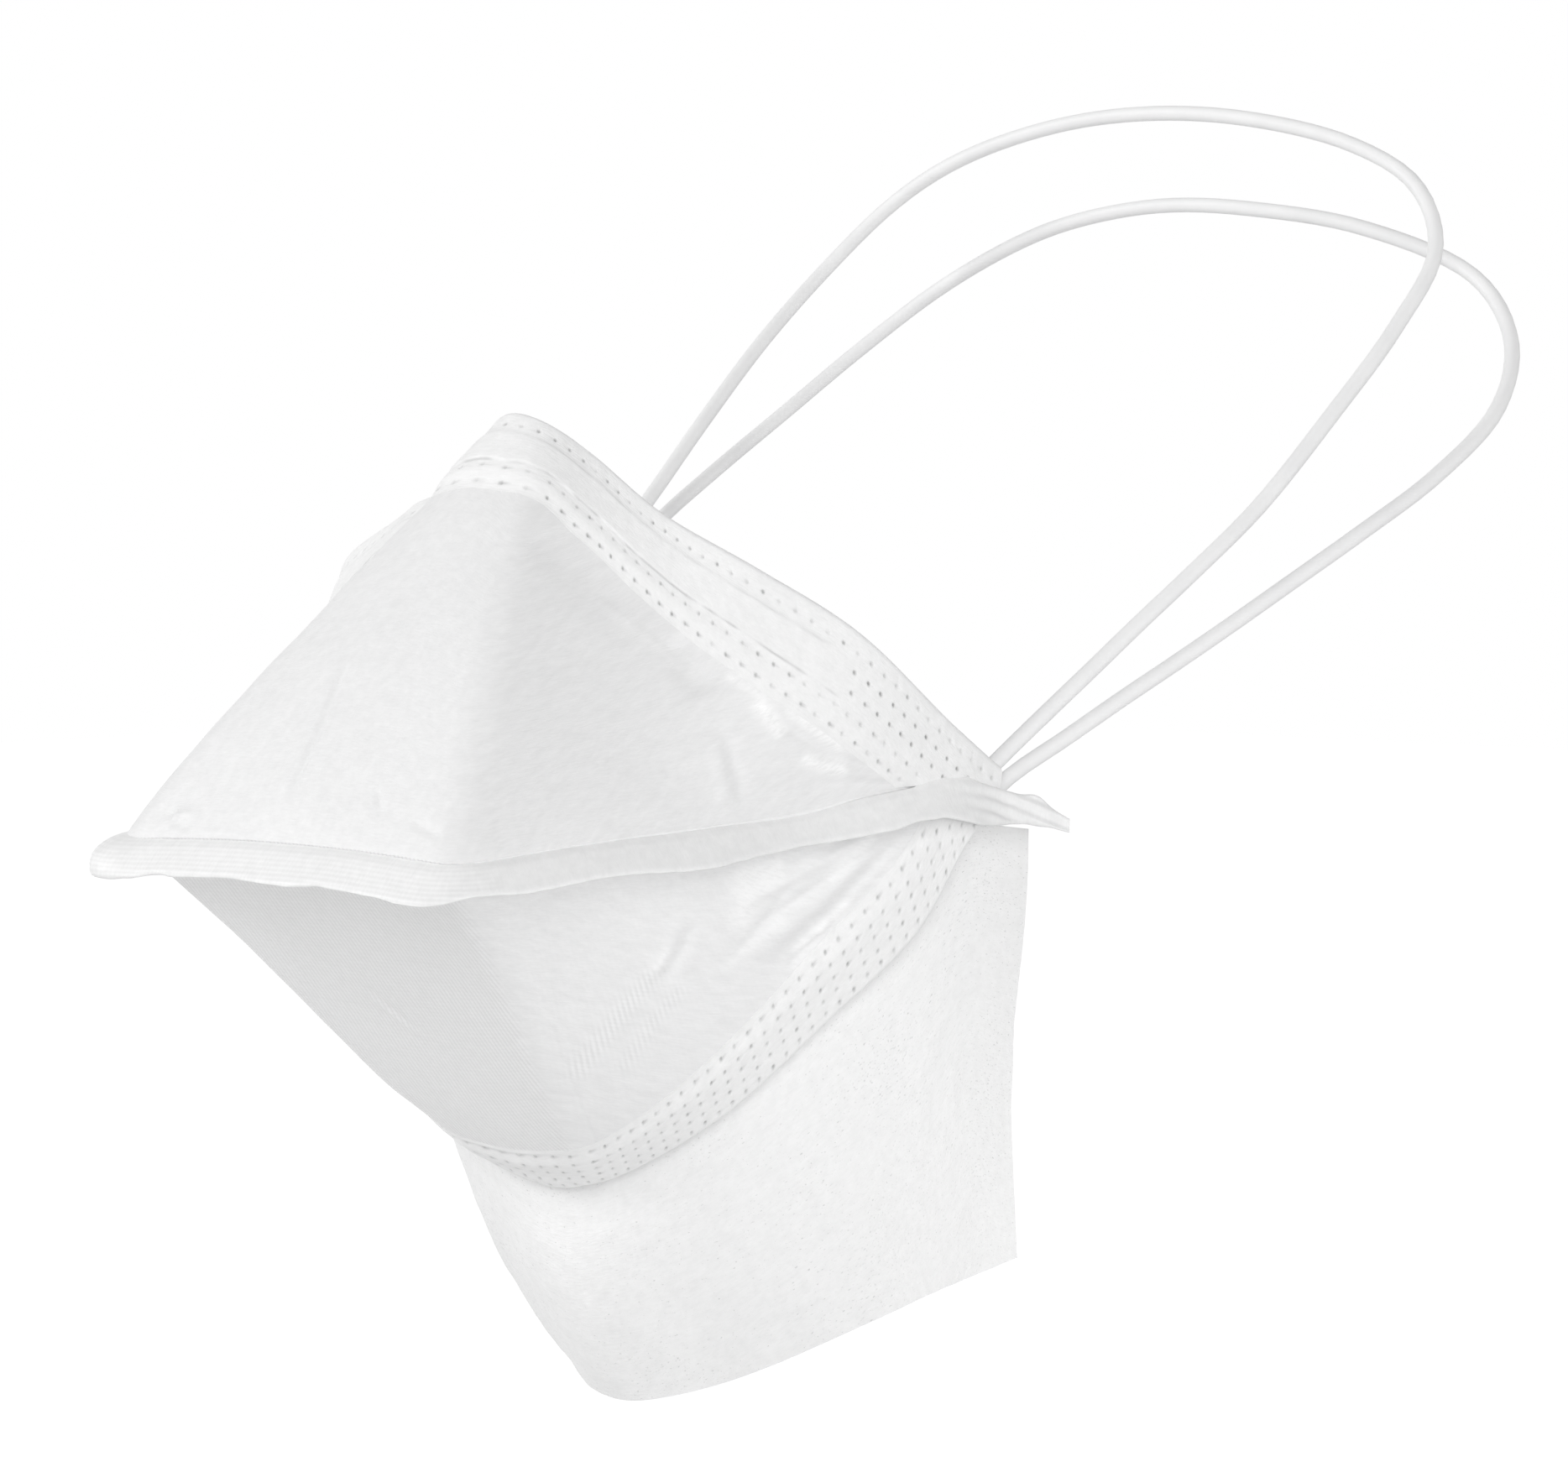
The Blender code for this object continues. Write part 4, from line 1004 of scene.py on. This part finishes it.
def neck_skirt(look):
    half_width = WING_HALF_SPAN - SKIRT_SIDE_INSET
    last = lower.last_column(SKIRT_LEAST_HEIGHT)
    reach = lower.edge_distance(last)
    s = np.linspace(-reach, reach, 330)
    u = np.sign(s) * np.interp(np.abs(s), lower.edge_knots, lower.knots)
    depth = BAND_BACK - GAP - SKIRT_PLY / 2
    lap = np.minimum(SKIRT_OVERLAP, lower.height(u) - SKIRT_LAP_SETBACK)
    offset = np.full(u.shape, depth)
    rear = np.array((half_width, SKIRT_REAR_BACK, -SKIRT_TOP_DROP))
    blend = np.linspace(0, 1, 24)[1:, None]

    def to_rear(line, drop):
        end = rear - (0, 0, drop)
        tail = line[-1] + (end - line[-1]) * blend
        return np.vstack((tail[::-1] * (-1, 1, 1), line, tail))

    top = to_rear(lower.layer(u, lap, offset), 0.0)
    brink = evened(to_rear(lower.layer(u, np.zeros_like(u), offset), SKIRT_OVERLAP), 8)
    span = Track(brink)
    middle = span.length / 2
    hem = eased(catmull_rom([(x * half_width,
                              -SKIRT_FRONT_REACH + y * (SKIRT_FRONT_REACH + SKIRT_REAR_BACK),
                              -SKIRT_FRONT_DEPTH + z * (SKIRT_FRONT_DEPTH - SKIRT_REAR_DEPTH))
                             for x, y, z in HEM_SHAPE]), CHIN_EASING)
    side = span.distance - middle
    tied = SKIRT_STRAIGHT * hem.length
    hem_distance = np.interp(np.abs(side), (0, tied, middle), (0, tied, hem.length))
    bottom = mirrored(hem.at(hem_distance), side)
    fall = bottom - brink
    outward = unit(np.cross(np.gradient(brink, axis=0), (0.0, 0.0, 1.0)))
    outward = unit(softened(outward, 21))
    swell = SKIRT_SWELL * (1 - smooth_step(SKIRT_SWELL_FULL, SKIRT_SWELL_NONE,
                                           np.abs(brink[:, 0])))
    t = np.concatenate((np.linspace(-1, 0, LAP_ROWS + 1)[:-1], np.linspace(0, 1, 82)))
    hung = np.clip(t, 0, 1)
    sheet = (brink[:, None] + fall[:, None] * hung[:, None]
             + (top - brink)[:, None] * np.clip(-t, 0, 1)[:, None]
             + outward[:, None] * (swell[:, None] * np.sin(np.pi * hung))[..., None])
    # The rear edges lean back at the top and are drawn in half way down.
    lean = np.interp(t, *REAR_LEAN) * MM
    at_rear = smooth_step(0.62, 1.0, np.abs(side) / middle)
    sheet[..., 1] += lean * at_rear[:, None]
    sheet = evened(sheet, 10)
    rear_share = smooth_step(0.5, 0.8, np.abs(side) / middle)[:, None, None]
    calmer = evened(sheet[..., :2], 44)
    sheet[..., :2] = sheet[..., :2] * (1 - rear_share) + calmer * rear_share
    length = np.linalg.norm(fall, axis=1)[:, None]
    field = np.stack((np.broadcast_to(side[:, None], sheet.shape[:2]),
                      -np.clip(t, 0, 1) * length + np.clip(-t, 0, 1) * SKIRT_OVERLAP,
                      np.full(sheet.shape[:2], 0.3)), -1)
    flat = field[..., :2]
    loose = smooth_step(0.02, 0.5, hung)
    folds = (0.9 * noise(flat * np.array((1.0, 0.35)), 17 * MM, 51)
             + 0.35 * noise(flat * np.array((1.0, 0.6)), 7 * MM, 52)
             + 0.10 * noise(flat, 3 * MM, 53)) * MM * loose
    folds = folds * (1 - 0.75 * smooth_step(0.5, 0.85, np.abs(side) / middle))[:, None]
    # Drawn wrinkles just under the band in front.
    pulled = np.stack((flat[..., 0] * 0.16 - flat[..., 1] * 0.10, flat[..., 1]), -1)
    near_band = smooth_step(0.0, 0.05, hung) * (1 - smooth_step(0.12, 0.38, hung))
    in_front = 1 - smooth_step(14 * MM, 42 * MM, np.abs(side))[:, None]
    folds = folds + 0.34 * MM * noise(pulled, 3.0 * MM, 55) * near_band * in_front
    move = folds + 0.05 * MM * noise(flat, 5 * MM, 54)
    sheet = sheet + outward[:, None] * move[..., None]
    across = np.gradient(sheet, axis=0)
    down = np.gradient(sheet, axis=1)
    half = unit(np.cross(across, down)) * SKIRT_PLY / 2
    depth = float(np.linalg.norm(np.diff(sheet, axis=1), axis=-1).sum(axis=1).max())
    thing = sheet_mesh("neck_skirt_cloth", sheet + half, sheet - half, look, {"cloth": field})
    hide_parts("skirt_yoke", "skirt_drape")
    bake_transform(thing)


# --- Elastic headbands -----------------------------------------------------------
CORD_SPACING = 2.6              # twice the points' distance along a cord, in diameters
MELT_RADIUS = 1.45 * MM
MELT_PUSH = 0.25 * MM          # how far the melted end is drawn out towards the cord
RING = 32                      # points round a melted end
# Across the wing, in half diameters of the cord, and round it, in melt radii.
MELT_PROFILE = ((-1.0, 0.02), (-1.0, 0.5), (-0.98, 0.8), (-0.82, 1.0), (-0.4, 1.06),
                (0.0, 1.04), (0.45, 1.06), (0.85, 0.98), (1.0, 0.78), (1.0, 0.45), (0.96, 0.02))


def cord_end(pivot_yz, side=1):
    x = WING_HALF_SPAN + BAND_BACK - CORD_CLEARANCE - CORD_DIAMETER / 2
    return np.array((side * x, *pivot_yz))


def headband(name, pivot_yz, route, look):
    end = cord_end(pivot_yz)
    route = np.array(route) * MM
    lead = unit(route[0] - end)
    half = np.vstack((end + lead * (WELD_RADIUS + GAP), route))
    whole = Track(catmull_rom(np.vstack((half, half[-2::-1] * (-1, 1, 1)))))
    count = 2 * int(round(whole.length / (CORD_SPACING * CORD_DIAMETER))) + 1
    points = whole.at(np.linspace(0, whole.length, count))
    curve = bpy.data.curves.new(name + "_cord", "CURVE")
    curve.dimensions = "3D"
    curve.bevel_depth = CORD_DIAMETER / 2
    curve.bevel_resolution = 5
    curve.use_fill_caps = True
    spline = curve.splines.new("POLY")
    spline.points.add(count - 1)
    for spot, point in zip(spline.points, points):
        spot.co = (*point, 1.0)
    spline.use_smooth = True
    curve.materials.append(look)
    thing = bpy.data.objects.new(name + "_cord", curve)
    bpy.context.collection.objects.link(thing)
    place(thing, name, "elastic", name)
    for sign, label in ((1, "left"), (-1, "right")):
        melted_end(f"{name}_end_{label}", f"{name}_weld_{label}",
                   cord_end(pivot_yz, sign), lead * (sign, 1, 1), look, 60 + sign)


def melted_end(name, node, centre, lead, look, seed):
    """The cord's end pressed flat and melted on to the inside of the wing."""
    around = np.linspace(0, math.tau, RING + 1)[:-1]
    rings = np.array([np.stack((np.full(RING, x * (CORD_DIAMETER / 2)),
                                np.cos(around) * r * MELT_RADIUS,
                                np.sin(around) * r * MELT_RADIUS), -1) for x, r in MELT_PROFILE])
    rings = rings * (1 + 0.07 * noise(rings + seed * 0.01, 1.1 * MM, seed))[..., None]
    reach = np.clip((rings @ lead) / MELT_RADIUS, 0, 1)[..., None]
    points = rings + lead * reach ** 3 * MELT_PUSH + centre
    last = len(rings) - 1
    index = np.arange(len(rings) * RING).reshape(-1, RING)
    faces = [(index[i, j], index[i, (j + 1) % RING], index[i + 1, (j + 1) % RING],
              index[i + 1, j]) for i in range(last) for j in range(RING)]
    # Quads across opposite halves close the two ends.
    for row, flip in ((0, 1), (last, -1)):
        faces += [(index[row, j], index[row, RING - 1 - j], index[row, RING - 2 - j],
                   index[row, j + 1])[::flip] for j in range(RING // 2 - 1)]
    thing = add_mesh(name, points.reshape(-1, 3), faces, look, {})
    place(thing, "mask", "elastic", node)


# --- Studio ----------------------------------------------------------------------
SKY = 0.415
FLOOR_LEVEL = -0.20
FLOOR_SIZE = 6.0
FLOOR_TONE = 0.92
GLOW_SHARE = 0.75              # of the floor's glow against its own tone
FLOOR_GLOW = 1.26


def seen_as_white(tree, lit, white, share, output):
    """Shows the white shader to camera, mirrors and glass, at that share, else the lit one."""
    nodes, links = tree.nodes, tree.links
    path = nodes.new("ShaderNodeLightPath")

    def maths(operation, a, b):
        made = nodes.new("ShaderNodeMath")
        made.operation = operation
        for value, socket in ((a, made.inputs[0]), (b, made.inputs[1])):
            if isinstance(value, float):
                socket.default_value = value
            else:
                links.new(value, socket)
        return made.outputs[0]

    seen = maths("MAXIMUM", path.outputs["Is Camera Ray"], path.outputs["Is Transmission Ray"])
    seen = maths("MAXIMUM", seen, path.outputs["Is Glossy Ray"])
    mix = nodes.new("ShaderNodeMixShader")
    links.new(maths("MULTIPLY", seen, share), mix.inputs[0])
    for index, (kind, tone, strength) in enumerate((lit, white), 1):
        shader = nodes.new(kind)
        shader.inputs["Color"].default_value = (tone, tone, tone, 1)
        if strength is not None:
            shader.inputs["Strength"].default_value = strength
        links.new(shader.outputs[0], mix.inputs[index])
    links.new(mix.outputs[0], nodes.new(output).inputs["Surface"])


def pale_world():
    world = bpy.data.worlds.new("studio")
    bpy.context.scene.world = world
    world.use_nodes = True
    world.node_tree.nodes.clear()
    seen_as_white(world.node_tree, ("ShaderNodeBackground", 1.0, SKY),
                  ("ShaderNodeBackground", 1.0, 1.0), 1.0, "ShaderNodeOutputWorld")


def pale_floor():
    mesh = bpy.data.meshes.new("floor")
    half = FLOOR_SIZE / 2
    mesh.from_pydata([(x, y, FLOOR_LEVEL) for x, y in
                      ((-half, -half), (half, -half), (half, half), (-half, half))],
                     [], [(0, 1, 2, 3)])
    floor = bpy.data.objects.new("floor", mesh)
    bpy.context.collection.objects.link(floor)
    surface = bpy.data.materials.new("floor")
    surface.use_nodes = True
    surface.node_tree.nodes.clear()
    seen_as_white(surface.node_tree, ("ShaderNodeBsdfDiffuse", FLOOR_TONE, None),
                  ("ShaderNodeEmission", 1.0, FLOOR_GLOW), GLOW_SHARE,
                  "ShaderNodeOutputMaterial")
    mesh.materials.append(surface)


def softbox(name, azimuth, elevation, distance, size, power):
    light = bpy.data.lights.new(name, "AREA")
    light.shape = "DISK"
    light.size = size
    light.energy = power
    lamp = bpy.data.objects.new(name, light)
    azimuth, elevation = math.radians(azimuth), math.radians(elevation)
    lamp.location = (distance * math.sin(azimuth) * math.cos(elevation),
                     -distance * math.cos(azimuth) * math.cos(elevation),
                     distance * math.sin(elevation))
    lamp.rotation_euler = (math.pi / 2 - elevation, 0, azimuth)
    bpy.context.collection.objects.link(lamp)


# --- The dressed mask ------------------------------------------------------------
add_camera()
bpy.context.scene.view_settings.view_transform = "Standard"
pale_world()
pale_floor()
softbox("left", -52, 24, 1.6, 0.9, 10.4)
softbox("front", 45, 20, 1.6, 0.9, 7.0)
softbox("low", 72, 2, 1.5, 0.36, 3.6)

elastic = Look("elastic", 0.5, Specular_IOR_Level=0.3)
place_on = elastic.node("ShaderNodeTexCoord", "Object")
thread = elastic.noise(elastic.scaled(place_on, (1500, 1500, 1500)), 2.0, 0.5)
broad = elastic.noise(elastic.scaled(place_on, (90, 90, 90)), 2.0, 0.5)
elastic_look = elastic.finish(
    blend_colour(elastic, elastic.remap(broad, 0.3, 0.7, 0, 1), (0.885, 0.885, 0.888),
                 (0.925, 0.925, 0.925)),
    roughness=elastic.remap(thread, 0.3, 0.7, 0.46, 0.54))

cover_look = nonwoven("cover_cloth", (0.885, 0.885, 0.887), 0.52, grain=0.34, relief=0.6,
                      mottle=0.10, streak=0.04, shine=True,
                      Sheen_Weight=0.1, Specular_IOR_Level=0.4)
ribbed_look = nonwoven("cover_ribbed", (0.925, 0.925, 0.927), 0.52, grain=0.32, relief=0.6,
                       mottle=0.10, streak=0.05, ribs=0.9, shine=True,
                       Sheen_Weight=0.1, Specular_IOR_Level=0.4)
lining_look = nonwoven("lining_cloth", (0.92, 0.92, 0.92), 0.7, grain=0.35, relief=0.5)
filter_look = nonwoven("filter_cloth", (0.88, 0.89, 0.90), 0.8, grain=0.5, relief=0.6)
band_look = nonwoven("band_cloth", (0.955, 0.955, 0.955), 0.6, grain=0.32, relief=0.8,
                     mottle=0.10, pebble=1.3, dots=True,
                     Sheen_Weight=0.1, Specular_IOR_Level=0.3)
rim_look = nonwoven("rim_cloth", (0.92, 0.92, 0.92), 0.5, grain=0.4, relief=0.7, mottle=0.10,
                    ribs=0.35, Specular_IOR_Level=0.4)
skirt_look = nonwoven("skirt_cloth", (0.975, 0.975, 0.975), 0.7, grain=0.40, relief=1.0,
                      mottle=0.09, specks=0.6, Sheen_Weight=0.1)

headband("upper_headband", UPPER_PIVOT, UPPER_ROUTE, elastic_look)
headband("lower_headband", LOWER_PIVOT, LOWER_ROUTE, elastic_look)

UPPER_SEED, LOWER_SEED, DOT_SEED = 11, 21, 7
COVER_GRID, FILTER_GRID, LINING_GRID = (520, 130), (200, 44), (260, 70)
FILTER_FROM_BAND = 7 * MM      # the filter starts this far inside the band's border
FILTER_SETBACK = 6 * MM        # and stops this far from the seam
LINING_TUCK = 2 * MM
LINING_SETBACK = 0.9 * MM
LINING_GAP = 0.1 * MM           # left under the cover where the lining is pressed to it
NOSE_ROWS = (0.184, 0.362, 0.54, 0.724, 0.903)
CHIN_ROWS = (0.15, 0.33, 0.51, 0.69, 0.87)
NOSE_CHANNEL = (0.285, 0.642, 75 * MM)
CHIN_WRINKLES = (-26 * MM, 8 * MM)
CHIN_DOT_TONE = 0.55
filter_depth = COVER_PLY + PLY_GAP
lining_depth = filter_depth + FILTER_PLY + PLY_GAP
covers = {}
for half, panel, band, creases, shines, look, seed in (
        ("upper", upper, NOSE_BAND_WIDTH, UPPER_CREASES, UPPER_SHINE, cover_look, UPPER_SEED),
        ("lower", lower, CHIN_BAND_WIDTH, LOWER_CREASES, LOWER_SHINE, ribbed_look, LOWER_SEED)):
    covers[half] = cloth_move(panel, band, creases, seed)
    ply(f"{half}_cover", f"outer_{half}_panel", panel, band - BAND_TUCK, 0.0, COVER_PLY, look,
        "cover_nonwoven", *COVER_GRID, covers[half], shines)
    ply(f"{half}_filter", f"filter_{half}_panel", panel, band + FILTER_FROM_BAND, filter_depth,
        FILTER_PLY, filter_look, "filter_web", *FILTER_GRID, covers[half],
        setback=FILTER_SETBACK)
    ply(f"{half}_lining", f"inner_{half}_panel", panel, band - LINING_TUCK, lining_depth,
        COVER_PLY, lining_look, "inner_nonwoven", *LINING_GRID, covers[half],
        setback=LINING_SETBACK, rise=lining_depth - COVER_PLY - LINING_GAP)

rng = np.random.default_rng(DOT_SEED)
dotted_band("nose_band_cloth", "nose_band", upper, nose_width, NOSE_ROWS, band_look, rng,
            nose_kept, covers["upper"], channel=NOSE_CHANNEL, darker=nose_darker)
dotted_band("chin_band_cloth", "chin_band", lower, chin_width, CHIN_ROWS, band_look, rng,
            lambda row, s: True, covers["lower"], darker=lambda row, s: CHIN_DOT_TONE,
            wrinkled=CHIN_WRINKLES)
welded_rim(rim_look)
neck_skirt(skirt_look)

metal = Look("nose_wire_metal", 0.38, Metallic=1.0)
spot = metal.node("ShaderNodeTexCoord", "Object")
brushed = metal.noise(metal.scaled(spot, (300, 3000, 3000)), 3.0, 0.6)
wire_strip(upper, metal.finish(blend_colour(metal, brushed, (0.72, 0.73, 0.74),
                                            (0.84, 0.85, 0.86)),
                               metal.bump(brushed, 0.2, 0.02 * MM)))

bpy.context.view_layer.update()
